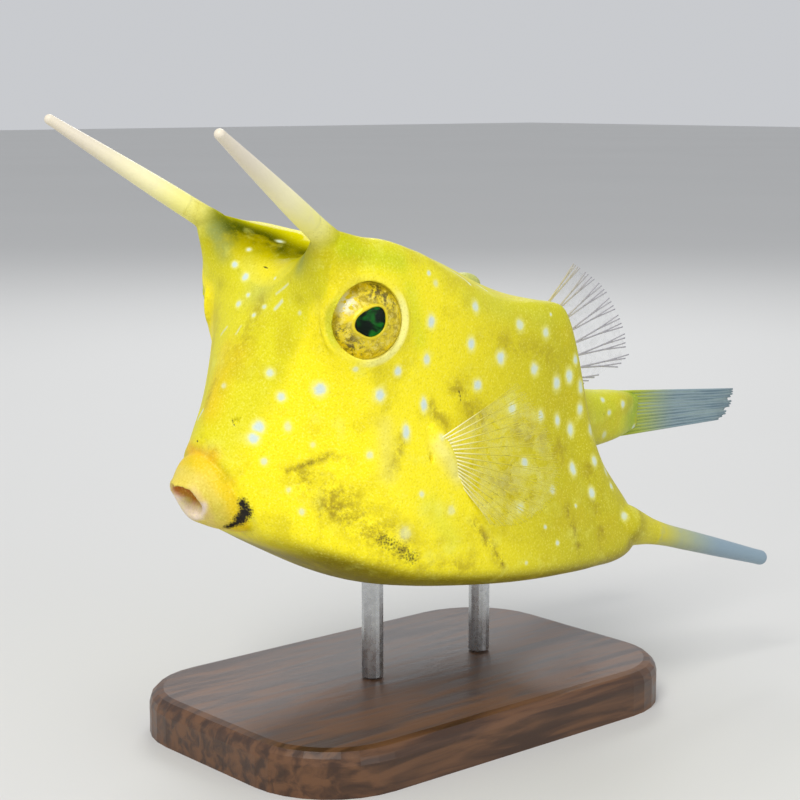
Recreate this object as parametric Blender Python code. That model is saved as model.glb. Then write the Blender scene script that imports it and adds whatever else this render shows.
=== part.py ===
"""Longhorn cowfish, a still life-size model on a display stand, as separate named solids.

The fish frame has x from the snout to the tail, y to the fish's right and z up, with its origin below
the snout at the level of the belly. The body is one lofted skin over five lengthwise lines, cut into
head, torso, tail stalk and lips. An empty then turns and lifts the fish onto its stand.
"""

import math

import bmesh
import bpy
import numpy as np
from mathutils import Matrix, Vector
from mathutils.bvhtree import BVHTree

MM = 0.001
GAP = 0.3 * MM

# Pose of the fish frame in the world: a slight bank and nose-up trim, and its place over the stand.
VIEW_YAW = math.radians(41.0)
VIEW_RISE = math.radians(9.2)
BANK = math.radians(3.0)
FISH_AT = (-54.28 * MM, 0.86 * MM, 23.5 * MM)

# Lengthwise lines of the right half, in mm, from the mouth to the end of the tail stalk. Each row is
# one station: crown (x, z), brow and back ridge (x, y, z), keel ridge (x, y, z), belly (x, z), how far
# the flank bows out between the ridges, and how round the ridges are, from 0 for sharp to 1.
STATIONS = [
    ((0.3, 17.3), (1.5, 2.9, 16.9), (3.5, 3.1, 12.6), (3.1, 11.8), 0.9, 1.0),
    ((1.4, 18.6), (2.6, 3.6, 18.2), (4.8, 4.4, 11.8), (4.9, 11.0), 1.4, 1.0),
    ((3.2, 21.2), (4.7, 4.2, 20.6), (6.8, 5.4, 11.7), (7.2, 10.4), 1.4, 1.0),
    ((4.1, 23.4), (5.7, 4.7, 22.6), (8.0, 6.2, 11.5), (8.9, 9.9), 1.2, 0.9),
    ((5.2, 26.8), (8.1, 6.1, 26.4), (11.4, 11.0, 10.2), (12.8, 7.7), 0.9, 0.6),
    ((7.6, 32.8), (11.0, 8.3, 33.0), (15.7, 16.0, 8.8), (17.5, 5.2), 0.5, 0.5),
    ((11.3, 40.0), (12.9, 10.2, 41.2), (20.0, 18.7, 7.4), (23.0, 2.6), 0.2, 0.45),
    ((16.0, 46.4), (13.4, 12.8, 50.2), (24.5, 20.4, 6.2), (28.0, 0.9), 0.1, 0.4),
    ((22.0, 47.6), (20.5, 13.6, 51.0), (30.0, 21.5, 5.4), (34.0, -0.1), 0.0, 0.4),
    ((30.0, 49.7), (30.0, 13.5, 48.6), (37.0, 22.3, 4.7), (41.0, -0.6), -0.2, 0.4),
    ((39.0, 47.8), (38.5, 13.2, 44.8), (45.0, 22.5, 4.1), (49.0, -1.0), -0.4, 0.4),
    ((48.0, 44.2), (47.0, 13.0, 41.6), (53.5, 22.1, 3.8), (57.0, -1.1), -0.5, 0.4),
    ((55.0, 40.8), (55.2, 12.8, 41.1), (61.0, 21.0, 3.6), (63.5, -0.7), -0.7, 0.4),
    ((58.9, 39.8), (59.6, 12.0, 40.2), (67.8, 19.0, 4.4), (68.2, 0.5), 0.0, 0.4),
    ((60.9, 36.4), (60.9, 9.4, 35.4), (71.0, 15.4, 7.6), (71.0, 3.6), 0.0, 0.7),
    ((64.2, 32.0), (66.0, 6.0, 30.4), (73.6, 9.2, 12.2), (74.2, 9.6), 0.2, 0.9),
    ((71.6, 26.2), (73.4, 3.6, 25.2), (76.4, 3.6, 16.9), (76.8, 15.6), 1.0, 1.0),
    ((79.5, 24.9), (79.5, 2.4, 24.3), (79.5, 2.5, 16.5), (79.5, 15.8), 0.9, 1.0),
    ((85.0, 24.5), (85.0, 1.7, 24.1), (85.0, 1.7, 17.1), (85.0, 16.6), 0.8, 1.0),
    ((88.4, 24.0), (88.4, 0.7, 23.6), (88.4, 0.7, 17.6), (88.4, 17.2), 0.35, 1.0),
]
RING_STEP = 2.1 * MM
AROUND = (5, 6, 6, 5)

# The three cuts that part the body, each by a point of its plane and the plane's normal.
CREASE_AT = (2.4 * MM, 0.0, 22.9 * MM)
CREASE_NORMAL = (0.89, 0.0, 0.456)
NECK_AT = (27.5 * MM, 0.0, 25.0 * MM)
NECK_NORMAL = (0.995, 0.0, 0.1)
STALK_AT = (74.6 * MM, 0.0, 20.5 * MM)
STALK_NORMAL = (0.97, 0.0, 0.24)

# Mouth: a line across the snout from corner to corner, and the hollow behind the lips.
MOUTH_AT = (1.5 * MM, 0.0, 14.6 * MM)
MOUTH_HOLLOW = (2.6 * MM, 2.7 * MM, 1.9 * MM)

# Small pits: nostrils on the snout and the gill slit before the pectoral fin.
NOSTRIL_AT = (6.7 * MM, 4.2 * MM, 25.8 * MM)
NOSTRIL_RADIUS = 0.55 * MM
GILL_AT = (28.8 * MM, 18.8 * MM, 23.2 * MM)
GILL_SIZE = (0.4 * MM, 1.0 * MM, 3.6 * MM)

# The low spine in the middle of the back.
BACK_SPINE_AT = (50.6 * MM, 0.0, 42.8 * MM)
BACK_SPINE = (2.8 * MM, 1.8 * MM, 1.6 * MM)
BACK_SPINE_AXIS = (0.1, 0.0, 1.0)

# Brow horns: straight cones on flared roots.
HORN_ROOT = (16.6 * MM, 12.1 * MM, 49.2 * MM)
HORN_TIP = (-9.3 * MM, 20.0 * MM, 64.6 * MM)
HORN_FLARE = 9.0 * MM
HORN_PROFILE = [
    (0.0, 1.4), (3.0, 1.95), (5.5, 1.9), (7.5, 1.8), (9.5, 1.68),
    (12.0, 1.54), (18.0, 1.28), (24.0, 1.02), (30.0, 0.72),
]
HORN_SWELL = (2.6 * MM, 3.4 * MM)

# Rear horns: longer, lower, blunt at the tip.
REAR_HORN_ROOT = (64.0 * MM, 16.6 * MM, 9.0 * MM)
REAR_HORN_TIP = (103.5 * MM, 18.5 * MM, -1.7 * MM)
REAR_HORN_FLARE = 14.0 * MM
REAR_HORN_PROFILE = [
    (0.0, 1.6), (4.0, 2.6), (7.0, 2.45), (9.5, 2.15), (12.5, 1.9),
    (16.0, 1.72), (21.0, 1.6), (29.0, 1.45), (38.0, 1.2),
]
REAR_HORN_SWELL = (3.6 * MM, 6.0 * MM)

# Eyes: a lens set in a socket, with a low ring of skin round it.
EYE_AT = (19.2 * MM, 15.0 * MM, 40.3 * MM)
EYE_AXIS = (-0.30, 0.94, 0.10)
EYE_RADIUS = 5.2 * MM
EYE_CURVE = 7.4 * MM
EYE_DEPTH = 2.6 * MM
SOCKET_REACH = 4.0 * MM
ORBIT_RADIUS = 5.95 * MM
ORBIT_THICK = 0.8 * MM

# Fins: each is a fan of rays on a thin membrane, with a ridge for each ray.
MEMBRANE = 0.5 * MM
ROOT_THICK = 1.0 * MM
RIDGE = 0.22 * MM
RIDGE_SHARE = 0.16
EDGE_DIP = 0.965
FIN_ROWS = 7

# Pectoral fin: its fleshy lobe, first and last root, each ray's angle from level and length in mm.
PECTORAL_AT = (31.2 * MM, 18.0 * MM, 21.8 * MM)
PECTORAL_LOBE = (2.1 * MM, 2.0 * MM, 5.0 * MM)
PECTORAL_LOBE_AXIS = (-0.4, -0.13, 0.9)
PECTORAL_ROOTS = ((30.4 * MM, 19.3 * MM, 24.4 * MM), (32.8 * MM, 19.3 * MM, 18.8 * MM))
PECTORAL_RAYS = 14
PECTORAL_ANGLES = (30, -56)
PECTORAL_LENGTHS = [(30, 13.6), (10, 15.6), (-12, 17.0), (-24, 15.6), (-40, 12.0), (-56, 8.0)]
PECTORAL_SPREAD = 0.27
FLANK_SLOPE = 0.22

# Dorsal and anal fins: first and last root (x, z) in mm, and the rays' angles and lengths.
DORSAL_RAYS = 8
DORSAL_ROOTS = ((62.5, 33.5), (68.4, 27.4))
DORSAL_ANGLES = (44, -4)
DORSAL_LENGTHS = [(44, 16.4), (30, 19.0), (12, 20.6), (3, 19.2), (-4, 11.0)]
ANAL_RAYS = 9
ANAL_ROOTS = ((70.6, 5.4), (72.6, 11.6))
ANAL_ANGLES = (-58, -14)
ANAL_LENGTHS = [(-58, 8.5), (-46, 11.0), (-34, 12.4), (-24, 11.2), (-14, 7.6)]

# Caudal fin: closed to a narrow brush. Heights in mm, and how far short each part of its end falls.
CAUDAL_RAYS = 12
CAUDAL_FROM = 88.4 * MM
CAUDAL_ROOT = (17.4, 23.8)
CAUDAL_TIP = (17.8, 22.8)
CAUDAL_LENGTH = 26.6 * MM
CAUDAL_ENDS = [(0, 3.2), (0.18, 1.0), (0.32, 1.9), (0.45, 0.4), (0.6, 0.2), (0.72, 1.7), (0.9, 0.0), (1, 0.4)]

# Plain colours and roughness of the pieces.
YELLOW = ((0.88, 0.76, 0.02), 0.45)
FLANK_YELLOW = ((0.80, 0.72, 0.02), 0.45)
STALK_YELLOW = ((0.72, 0.74, 0.10), 0.45)
LIP_FLESH = ((0.86, 0.70, 0.30), 0.45)
HORN_CREAM = ((0.93, 0.89, 0.62), 0.4)
REAR_HORN_GREY = ((0.72, 0.76, 0.66), 0.4)
EYE_GOLD = ((0.62, 0.55, 0.16), 0.15)
PECTORAL_CLEAR = ((0.86, 0.80, 0.45), 0.35)
FIN_CLEAR = ((0.70, 0.72, 0.66), 0.35)
TAIL_BLUE = ((0.52, 0.62, 0.66), 0.35)
WOOD = ((0.22, 0.12, 0.06), 0.5)
STEEL = ((0.60, 0.60, 0.60), 0.3, 1.0)

# Stand: a wooden base and two steel rods up to the belly.
BASE_SIZE = (74 * MM, 48 * MM, 6.5 * MM)
BASE_EDGE = 2.0 * MM
BASE_CORNER = 0.28
BASE_AT_X = -12.0 * MM
ROD_RADIUS = 1.6 * MM
ROD_AT = (35.5 * MM, 57.0 * MM)
ROD_SIDES = 16


def clear_scene():
    for obj in list(bpy.data.objects):
        bpy.data.objects.remove(obj, do_unlink=True)


def material(name, colour, roughness, metallic=0.0):
    made = bpy.data.materials.new(name)
    made.use_nodes = True
    shader = made.node_tree.nodes["Principled BSDF"]
    shader.inputs["Base Color"].default_value = (*colour, 1.0)
    shader.inputs["Roughness"].default_value = roughness
    shader.inputs["Metallic"].default_value = metallic
    return made


def mesh_object(name, points, faces, finish):
    mesh = bpy.data.meshes.new(name)
    mesh.from_pydata([tuple(p) for p in points], [], [tuple(f) for f in faces])
    mesh.validate()
    obj = bpy.data.objects.new(name, mesh)
    bpy.context.scene.collection.objects.link(obj)
    if finish:
        mesh.materials.append(material(name, *finish))
    face_out(mesh)
    mesh.shade_smooth()
    mesh.set_sharp_from_angle(angle=math.radians(40))
    return obj


def face_out(mesh):
    bm = bmesh.new()
    bm.from_mesh(mesh)
    bmesh.ops.recalc_face_normals(bm, faces=bm.faces)
    if bm.calc_volume(signed=True) < 0:
        bmesh.ops.reverse_faces(bm, faces=bm.faces)
    bm.to_mesh(mesh)
    bm.free()


def keep_largest(mesh):
    """Keeps the closed surface of largest volume, so that no scrap of a union or a cut stays."""
    bm = bmesh.new()
    bm.from_mesh(mesh)
    bmesh.ops.triangulate(bm, faces=bm.faces)
    left = set(bm.faces)
    pieces = []
    while left:
        found = {left.pop()}
        edge = list(found)
        while edge:
            for side in edge.pop().edges:
                for face in side.link_faces:
                    if face in left:
                        left.discard(face)
                        found.add(face)
                        edge.append(face)
        volume = 0.0
        for face in found:
            a, b, c = (v.co for v in face.verts)
            volume += a.dot(b.cross(c)) / 6
        pieces.append((volume, found))
    largest = max(pieces, key=lambda piece: piece[0])[1]
    bmesh.ops.delete(bm, geom=[f for f in bm.faces if f not in largest], context="FACES")
    bm.to_mesh(mesh)
    bm.free()


def combine(obj, others, operation):
    """Applies one Boolean of the object with all the others, and removes them."""
    group = bpy.data.collections.new("tools")
    bpy.context.scene.collection.children.link(group)
    for other in others:
        bpy.context.scene.collection.objects.unlink(other)
        group.objects.link(other)
    modifier = obj.modifiers.new("combine", "BOOLEAN")
    modifier.operation = operation
    modifier.operand_type = "COLLECTION"
    modifier.collection = group
    modifier.solver = "EXACT"
    graph = bpy.context.evaluated_depsgraph_get()
    mesh = bpy.data.meshes.new_from_object(obj.evaluated_get(graph))
    obj.modifiers.clear()
    obj.data = mesh
    keep_largest(mesh)
    for other in list(group.objects):
        bpy.data.objects.remove(other, do_unlink=True)
    bpy.data.collections.remove(group)


def trimmed(obj, name, cuts, finish):
    """A copy of the object, cut by planes: each cut is a point, a normal and the side kept, 1 or -1."""
    bm = bmesh.new()
    bm.from_mesh(obj.data)
    for at, normal, side in cuts:
        direction = Vector(normal).normalized()
        at = Vector(at) + direction * side * GAP / 2
        geometry = bm.verts[:] + bm.edges[:] + bm.faces[:]
        clear_in = side > 0
        found = bmesh.ops.bisect_plane(
            bm, geom=geometry, plane_co=at, plane_no=direction, clear_inner=clear_in, clear_outer=not clear_in
        )
        rim = [item for item in found["geom_cut"] if isinstance(item, bmesh.types.BMEdge)]
        bmesh.ops.holes_fill(bm, edges=rim)
    bmesh.ops.triangulate(bm, faces=[f for f in bm.faces if len(f.verts) > 4])
    mesh = bpy.data.meshes.new(name)
    bm.to_mesh(mesh)
    bm.free()
    copy = bpy.data.objects.new(name, mesh)
    bpy.context.scene.collection.objects.link(copy)
    mesh.materials.append(material(name, *finish))
    face_out(mesh)
    mesh.shade_smooth()
    mesh.set_sharp_from_angle(angle=math.radians(40))
    return copy


def unit(vector):
    length = np.linalg.norm(vector)
    return vector / length if length else vector


def heading(before, here, after):
    """Direction of a smooth line at a point, from its two neighbours, the nearer one counting more."""
    back, ahead = here - before, after - here
    back_length, ahead_length = np.linalg.norm(back), np.linalg.norm(ahead)
    return unit(unit(back) * ahead_length + unit(ahead) * back_length)


def span(start, end, start_slope, end_slope, t):
    """Point of the cubic between two ends with the given slopes."""
    return (
        start * (2 * t**3 - 3 * t**2 + 1)
        + start_slope * (t**3 - 2 * t**2 + t)
        + end * (3 * t**2 - 2 * t**3)
        + end_slope * (t**3 - t**2)
    )


def smooth_line(points, steps):
    """Points along a smooth line through the given ones, with steps[i] pieces in span i."""
    points = [np.asarray(p, float) for p in points]
    count = len(points)
    ways = [
        heading(points[max(i - 1, 0)], points[i], points[min(i + 1, count - 1)])
        for i in range(count)
    ]
    line = []
    for i in range(count - 1):
        chord = np.linalg.norm(points[i + 1] - points[i])
        for step in range(steps[i]):
            line.append(span(points[i], points[i + 1], ways[i] * chord, ways[i + 1] * chord, step / steps[i]))
    line.append(points[-1])
    return np.array(line)


def guide_rows(ring_step):
    """The five lengthwise lines and the ridge roundness, one row for each ring of the body."""
    crown = np.array([(x, 0.0, z) for (x, z), *_ in STATIONS]) * MM
    ridge = np.array([row[1] for row in STATIONS]) * MM
    keel = np.array([row[2] for row in STATIONS]) * MM
    belly = np.array([(row[3][0], 0.0, row[3][1]) for row in STATIONS]) * MM
    flank = (ridge + keel) / 2
    flank[:, 1] += np.array([row[4] for row in STATIONS]) * MM
    gaps = [np.linalg.norm(np.diff(line, axis=0), axis=1) for line in (crown, ridge, flank, belly)]
    steps = [max(1, round(length / ring_step)) for length in np.max(gaps, axis=0)]
    lines = [smooth_line(line, steps) for line in (crown, ridge, flank, keel, belly)]
    places = np.concatenate([np.arange(n) / n + i for i, n in enumerate(steps)] + [[len(steps)]])
    roundness = np.interp(places, range(len(STATIONS)), [row[5] for row in STATIONS])
    return np.array(lines).transpose(1, 0, 2), roundness


def ring(keys, roundness, around):
    """One closed section through crown, ridge, flank, keel and belly and back up the left side."""
    crown, ridge, flank, keel, belly = keys
    across = np.array([0.0, 1.0, 0.0])
    ways = [
        across,
        heading(crown, ridge, flank),
        heading(ridge, flank, keel),
        heading(flank, keel, belly),
        -across,
    ]
    pull = [0.9, roundness, 0.9, roundness, 0.9]
    half = []
    for i in range(4):
        chord = np.linalg.norm(keys[i + 1] - keys[i])
        for step in range(around[i]):
            slopes = ways[i] * pull[i] * chord, ways[i + 1] * pull[i + 1] * chord
            half.append(span(keys[i], keys[i + 1], *slopes, step / around[i]))
    half.append(belly)
    other = [p * (1, -1, 1) for p in half[-2:0:-1]]
    return half + other


def loft(name, rings, finish):
    """A closed skin over rings of equal point counts, with flat ends."""
    count = len(rings[0])
    points = [p for one in rings for p in one]
    faces = []
    for r in range(len(rings) - 1):
        for i in range(count):
            j = (i + 1) % count
            low, high = r * count, (r + 1) * count
            faces.append((low + i, low + j, high + j))
            faces.append((low + i, high + j, high + i))
    faces.append(tuple(range(count))[::-1])
    faces.append(tuple(range((len(rings) - 1) * count, len(rings) * count)))
    return mesh_object(name, points, faces, finish)


def swollen(points):
    """Skin points drawn out along each horn's axis, so that its root rises from a soft cone."""
    points = np.array(points)
    for root, tip, (height, width) in (
        (HORN_ROOT, HORN_TIP, HORN_SWELL),
        (REAR_HORN_ROOT, REAR_HORN_TIP, REAR_HORN_SWELL),
    ):
        for side in (-1, 1):
            base = np.array(mirrored(root, side))
            axis = unit(np.array(mirrored(tip, side)) - base)
            along = (points - base) @ axis
            across = np.linalg.norm(points - base - np.outer(along, axis), axis=1)
            outside = np.clip(along / width + 0.6, 0.0, 1.0)
            points = points + np.outer(height * outside * np.exp(-((across / width) ** 2)), axis)
    return points


def make_body():
    rows, roundness = guide_rows(RING_STEP)
    rings = [swollen(ring(keys, round_here, AROUND)) for keys, round_here in zip(rows, roundness)]
    return loft("body", rings, None)


def mirrored(point, side):
    return Vector((point[0], point[1] * side, point[2]))


def turned(name, base, axis, profile, finish, sides=14):
    """A solid of revolution: profile rows of distance along the axis and radius, both in metres."""
    turn = Vector((0, 0, 1)).rotation_difference(Vector(axis).normalized()).to_matrix()
    rings = []
    for along, radius in profile:
        circle = []
        for i in range(sides):
            angle = 2 * math.pi * i / sides
            spot = Vector((radius * math.cos(angle), radius * math.sin(angle), along))
            circle.append(np.array(Vector(base) + turn @ spot))
        rings.append(circle)
    return loft(name, rings, finish)


def ellipsoid(name, at, size, axis=(0, 0, 1), detail=2):
    turn = Vector((0, 0, 1)).rotation_difference(Vector(axis).normalized()).to_matrix().to_4x4()
    place = Matrix.Translation(at) @ turn @ Matrix.Diagonal((*size, 1.0))
    bm = bmesh.new()
    bmesh.ops.create_icosphere(bm, subdivisions=detail, radius=1.0)
    bmesh.ops.transform(bm, matrix=place, verts=bm.verts)
    mesh = bpy.data.meshes.new(name)
    bm.to_mesh(mesh)
    bm.free()
    obj = bpy.data.objects.new(name, mesh)
    bpy.context.scene.collection.objects.link(obj)
    return obj


def torus(name, at, axis, major, minor, sides=28, around=8):
    turn = Vector((0, 0, 1)).rotation_difference(Vector(axis).normalized()).to_matrix()
    points = []
    faces = []
    for i in range(sides):
        a = 2 * math.pi * i / sides
        for j in range(around):
            b = 2 * math.pi * j / around
            reach = major + minor * math.cos(b)
            spot = Vector((reach * math.cos(a), reach * math.sin(a), minor * math.sin(b)))
            points.append(Vector(at) + turn @ spot)
            ahead, over = (i + 1) % sides, (j + 1) % around
            faces.append((i * around + j, ahead * around + j, ahead * around + over, i * around + over))
    return mesh_object(name, points, faces, None)


def scaled_profile(profile):
    return [(along * MM, radius * MM) for along, radius in profile]


def horn_pieces(name, root, tip, profile, flare, side, finish):
    """The flared root that joins the body, and the horn that starts one gap beyond it."""
    base = mirrored(root, side)
    axis = mirrored(tip, side) - base
    length = axis.length
    rows = scaled_profile(profile)
    along = [row[0] for row in rows]
    radius = [row[1] for row in rows]
    stub = [row for row in rows if row[0] < flare] + [(flare, float(np.interp(flare, along, radius)))]
    start = flare + GAP
    shaft = [(start, float(np.interp(start, along, radius)))] + [row for row in rows if row[0] > start]
    end, blunt = shaft.pop()
    end = length - blunt
    shaft = [row for row in shaft if row[0] < end - blunt] + [(end, blunt)]
    for turn in (30, 58, 80):
        angle = math.radians(turn)
        shaft.append((end + blunt * math.sin(angle), blunt * math.cos(angle)))
    root_piece = turned(name + "_flare", base, axis, stub, None)
    turned(name, base, axis, shaft, finish, sides=12)
    return root_piece


def lens_profile(grow):
    """Half outline of the eye along its axis: flat back, short wall, domed front."""
    rim = EYE_RADIUS + grow
    curve = EYE_CURVE + grow
    rows = [(-EYE_DEPTH - grow, rim * 0.8), (-EYE_DEPTH * 0.6 - grow, rim), (0.0, rim)]
    drop = math.sqrt(curve**2 - rim**2)
    edge = math.asin(rim / curve)
    for part in (0.75, 0.5, 0.25, 0.06):
        rows.append((curve * math.cos(edge * part) - drop, curve * math.sin(edge * part)))
    return rows


def side_name(side):
    return "right" if side > 0 else "left"


def make_head(body):
    head = trimmed(body, "head", [(CREASE_AT, CREASE_NORMAL, 1), (NECK_AT, NECK_NORMAL, -1)], YELLOW)
    added, removed = [], []
    for side in (-1, 1):
        end = side_name(side)
        added.append(horn_pieces("horn_" + end, HORN_ROOT, HORN_TIP, HORN_PROFILE, HORN_FLARE, side, HORN_CREAM))
        eye_at, eye_axis = mirrored(EYE_AT, side), mirrored(EYE_AXIS, side)
        added.append(torus("orbit", eye_at, eye_axis, ORBIT_RADIUS, ORBIT_THICK))
        socket = lens_profile(GAP)[:3] + [(SOCKET_REACH, EYE_RADIUS + GAP)]
        removed.append(turned("socket", eye_at, eye_axis, socket, None, sides=28))
        turned("eye_" + end, eye_at, eye_axis, lens_profile(0.0), EYE_GOLD, sides=28)
        removed.append(ellipsoid("nostril", mirrored(NOSTRIL_AT, side), (NOSTRIL_RADIUS,) * 3))
    combine(head, added, "UNION")
    combine(head, removed, "DIFFERENCE")
    return head


def make_lips(body):
    forward = Vector(CREASE_NORMAL).normalized()
    upward = forward.cross(Vector((0, 1, 0)))
    deep, wide, tall = MOUTH_HOLLOW
    for name, kept in (("upper_lip", 1), ("lower_lip", -1)):
        lip = trimmed(body, name, [(CREASE_AT, CREASE_NORMAL, -1), (MOUTH_AT, upward, kept)], LIP_FLESH)
        combine(lip, [ellipsoid("hollow", MOUTH_AT, (tall, wide, deep), forward)], "DIFFERENCE")


def make_torso(body):
    torso = trimmed(body, "torso", [(NECK_AT, NECK_NORMAL, 1), (STALK_AT, STALK_NORMAL, -1)], FLANK_YELLOW)
    added, removed = [], []
    for side in (-1, 1):
        rear = (REAR_HORN_ROOT, REAR_HORN_TIP, REAR_HORN_PROFILE, REAR_HORN_FLARE)
        added.append(horn_pieces("rear_horn_" + side_name(side), *rear, side, REAR_HORN_GREY))
        lobe_axis = mirrored(PECTORAL_LOBE_AXIS, side)
        added.append(ellipsoid("lobe", mirrored(PECTORAL_AT, side), PECTORAL_LOBE, lobe_axis))
        removed.append(ellipsoid("gill", mirrored(GILL_AT, side), GILL_SIZE))
    added.append(ellipsoid("back_spine", BACK_SPINE_AT, BACK_SPINE, BACK_SPINE_AXIS))
    combine(torso, added, "UNION")
    combine(torso, removed, "DIFFERENCE")
    return torso


def make_stalk(body):
    return trimmed(body, "tail_stalk", [(STALK_AT, STALK_NORMAL, 1)], STALK_YELLOW)


def landing(tree, start, way, length):
    """Where a line towards the start meets the carrier, stopped one gap short of its surface.

    A line that clears the carrier keeps its start.
    """
    hit, normal, _, _ = tree.ray_cast(start + way * length, -way)
    if hit is None:
        return start
    return hit + way * GAP * 1.1 / max(abs(normal.dot(way)), 0.3)


def fan(name, rays, carrier, finish):
    """A fin over rays of (root, tip): one ridge for each ray, on a membrane between them.

    With a carrier, each root is moved along its ray to one gap outside the carrier's surface.
    """
    count = len(rays)
    columns = []
    for i, (root, tip) in enumerate(rays):
        for offset in (-1, 0, 1):
            at = min(max(i + offset * RIDGE_SHARE, 0), count - 1)
            low = min(int(at), count - 2)
            share = at - low
            foot = Vector(rays[low][0]).lerp(Vector(rays[low + 1][0]), share)
            end = Vector(rays[low][1]).lerp(Vector(rays[low + 1][1]), share)
            if offset and 0 < at < count - 1:
                end = foot.lerp(end, EDGE_DIP)
            if abs(at - i) < 1e-6 and offset:
                continue
            columns.append((foot, end, offset == 0))
    tree = None
    if carrier:
        corners = [v.co[:] for v in carrier.data.vertices]
        tree = BVHTree.FromPolygons(corners, [p.vertices[:] for p in carrier.data.polygons])
    faces, points = [], []
    rows = FIN_ROWS
    for foot, end, on_ray in columns:
        way = (end - foot).normalized()
        for face in (1, -1):
            start = foot + Vector((0, face * ROOT_THICK / 2, 0))
            if tree:
                start = landing(tree, start, way, (end - foot).length)
            for row in range(rows):
                t = row / (rows - 1)
                half = MEMBRANE / 2 + (RIDGE * (1 - 0.5 * t) if on_ray and t > 0 else 0)
                if row == rows - 1:
                    half *= 0.6
                target = end + Vector((0, face * half, 0))
                base = start + Vector((0, face * (half - ROOT_THICK / 2) * min(t * 2, 1), 0))
                points.append(base.lerp(target, t))
    wide = len(columns)

    def at(column, row, face):
        return (column * 2 + face) * rows + row

    for column in range(wide - 1):
        for row in range(rows - 1):
            for face in (0, 1):
                a, b = at(column, row, face), at(column + 1, row, face)
                c, d = at(column + 1, row + 1, face), at(column, row + 1, face)
                faces += [(a, b, c), (a, c, d)] if face else [(a, c, b), (a, d, c)]
    for column in range(wide - 1):
        for row in (0, rows - 1):
            a, b = at(column, row, 0), at(column + 1, row, 0)
            c, d = at(column + 1, row, 1), at(column, row, 1)
            faces += [(a, b, c), (a, c, d)]
    for column in (0, wide - 1):
        for row in range(rows - 1):
            a, b = at(column, row, 0), at(column, row + 1, 0)
            c, d = at(column, row + 1, 1), at(column, row, 1)
            faces += [(a, b, c), (a, c, d)]
    return mesh_object(name, points, faces, finish)


def ray_table(count, angles, lengths):
    """Angle and length of each ray, the lengths read from a few given ones."""
    known = sorted(lengths)
    for i in range(count):
        angle = angles[0] + (angles[1] - angles[0]) * i / (count - 1)
        length = np.interp(angle, [a for a, _ in known], [n for _, n in known])
        yield math.radians(angle), float(length) * MM


def make_pectorals(torso):
    first, last = Vector(PECTORAL_ROOTS[0]), Vector(PECTORAL_ROOTS[1])
    for side in (-1, 1):
        rays = []
        for i, (angle, length) in enumerate(ray_table(PECTORAL_RAYS, PECTORAL_ANGLES, PECTORAL_LENGTHS)):
            root = first.lerp(last, i / (PECTORAL_RAYS - 1))
            away = Vector((math.cos(angle), PECTORAL_SPREAD - FLANK_SLOPE * math.sin(angle), math.sin(angle)))
            tip = root + away * length
            rays.append((mirrored(root, side), mirrored(tip, side)))
        fan("pectoral_fin_" + side_name(side), rays, torso, PECTORAL_CLEAR)


def make_median_fin(name, torso, roots, angles, lengths, count):
    first, last = Vector((roots[0][0], 0, roots[0][1])), Vector((roots[1][0], 0, roots[1][1]))
    rays = []
    for i, (angle, length) in enumerate(ray_table(count, angles, lengths)):
        root = first.lerp(last, i / (count - 1)) * MM
        rays.append((root, root + Vector((math.cos(angle), 0, math.sin(angle))) * length))
    fan(name, rays, torso, FIN_CLEAR)


def make_caudal(stalk):
    rays = []
    for i in range(CAUDAL_RAYS):
        share = i / (CAUDAL_RAYS - 1)
        low = CAUDAL_ROOT[0] + (CAUDAL_ROOT[1] - CAUDAL_ROOT[0]) * share
        high = CAUDAL_TIP[0] + (CAUDAL_TIP[1] - CAUDAL_TIP[0]) * share
        short = float(np.interp(share, [a for a, _ in CAUDAL_ENDS], [n for _, n in CAUDAL_ENDS])) * MM
        root = Vector((CAUDAL_FROM + GAP, 0, low * MM))
        rays.append((root, Vector((CAUDAL_FROM + CAUDAL_LENGTH - short, 0, high * MM))))
    fan("caudal_fin", rays, None, TAIL_BLUE)


def pose_matrix():
    """Turns the fish frame so that a level camera at the photographed side sees its bank."""
    flat = math.cos(VIEW_RISE)
    back = Vector((-math.sin(VIEW_YAW) * flat, -math.cos(VIEW_YAW) * flat, math.sin(VIEW_RISE)))
    return Matrix.Translation(FISH_AT) @ Matrix.Rotation(-BANK, 4, back)


def pose_fish():
    pose = bpy.data.objects.new("pose", None)
    bpy.context.scene.collection.objects.link(pose)
    pose.matrix_world = pose_matrix()
    for obj in bpy.context.scene.objects:
        if obj.type == "MESH":
            obj.parent = pose
    bpy.context.view_layer.update()


def make_base():
    wide, deep, high = BASE_SIZE
    place = Matrix.Translation((BASE_AT_X, 0, high / 2)) @ Matrix.Diagonal((wide, deep, high, 1))
    bm = bmesh.new()
    bmesh.ops.create_cube(bm, size=1.0)
    bmesh.ops.transform(bm, matrix=place, verts=bm.verts)
    upright = [e for e in bm.edges if abs(e.verts[0].co.z - e.verts[1].co.z) > high / 2]
    bmesh.ops.bevel(bm, geom=upright, offset=deep * BASE_CORNER, segments=8, affect="EDGES", profile=0.5)
    top = [e for e in bm.edges if all(v.co.z > high * 0.99 for v in e.verts) and len(e.link_faces) == 2]
    bmesh.ops.bevel(bm, geom=top, offset=BASE_EDGE, segments=3, affect="EDGES", profile=0.5)
    mesh = bpy.data.meshes.new("stand_base")
    bm.to_mesh(mesh)
    bm.free()
    mesh.materials.append(material("stand_base", *WOOD))
    obj = bpy.data.objects.new("stand_base", mesh)
    bpy.context.scene.collection.objects.link(obj)
    mesh.shade_smooth()
    mesh.set_sharp_from_angle(angle=math.radians(40))


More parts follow.
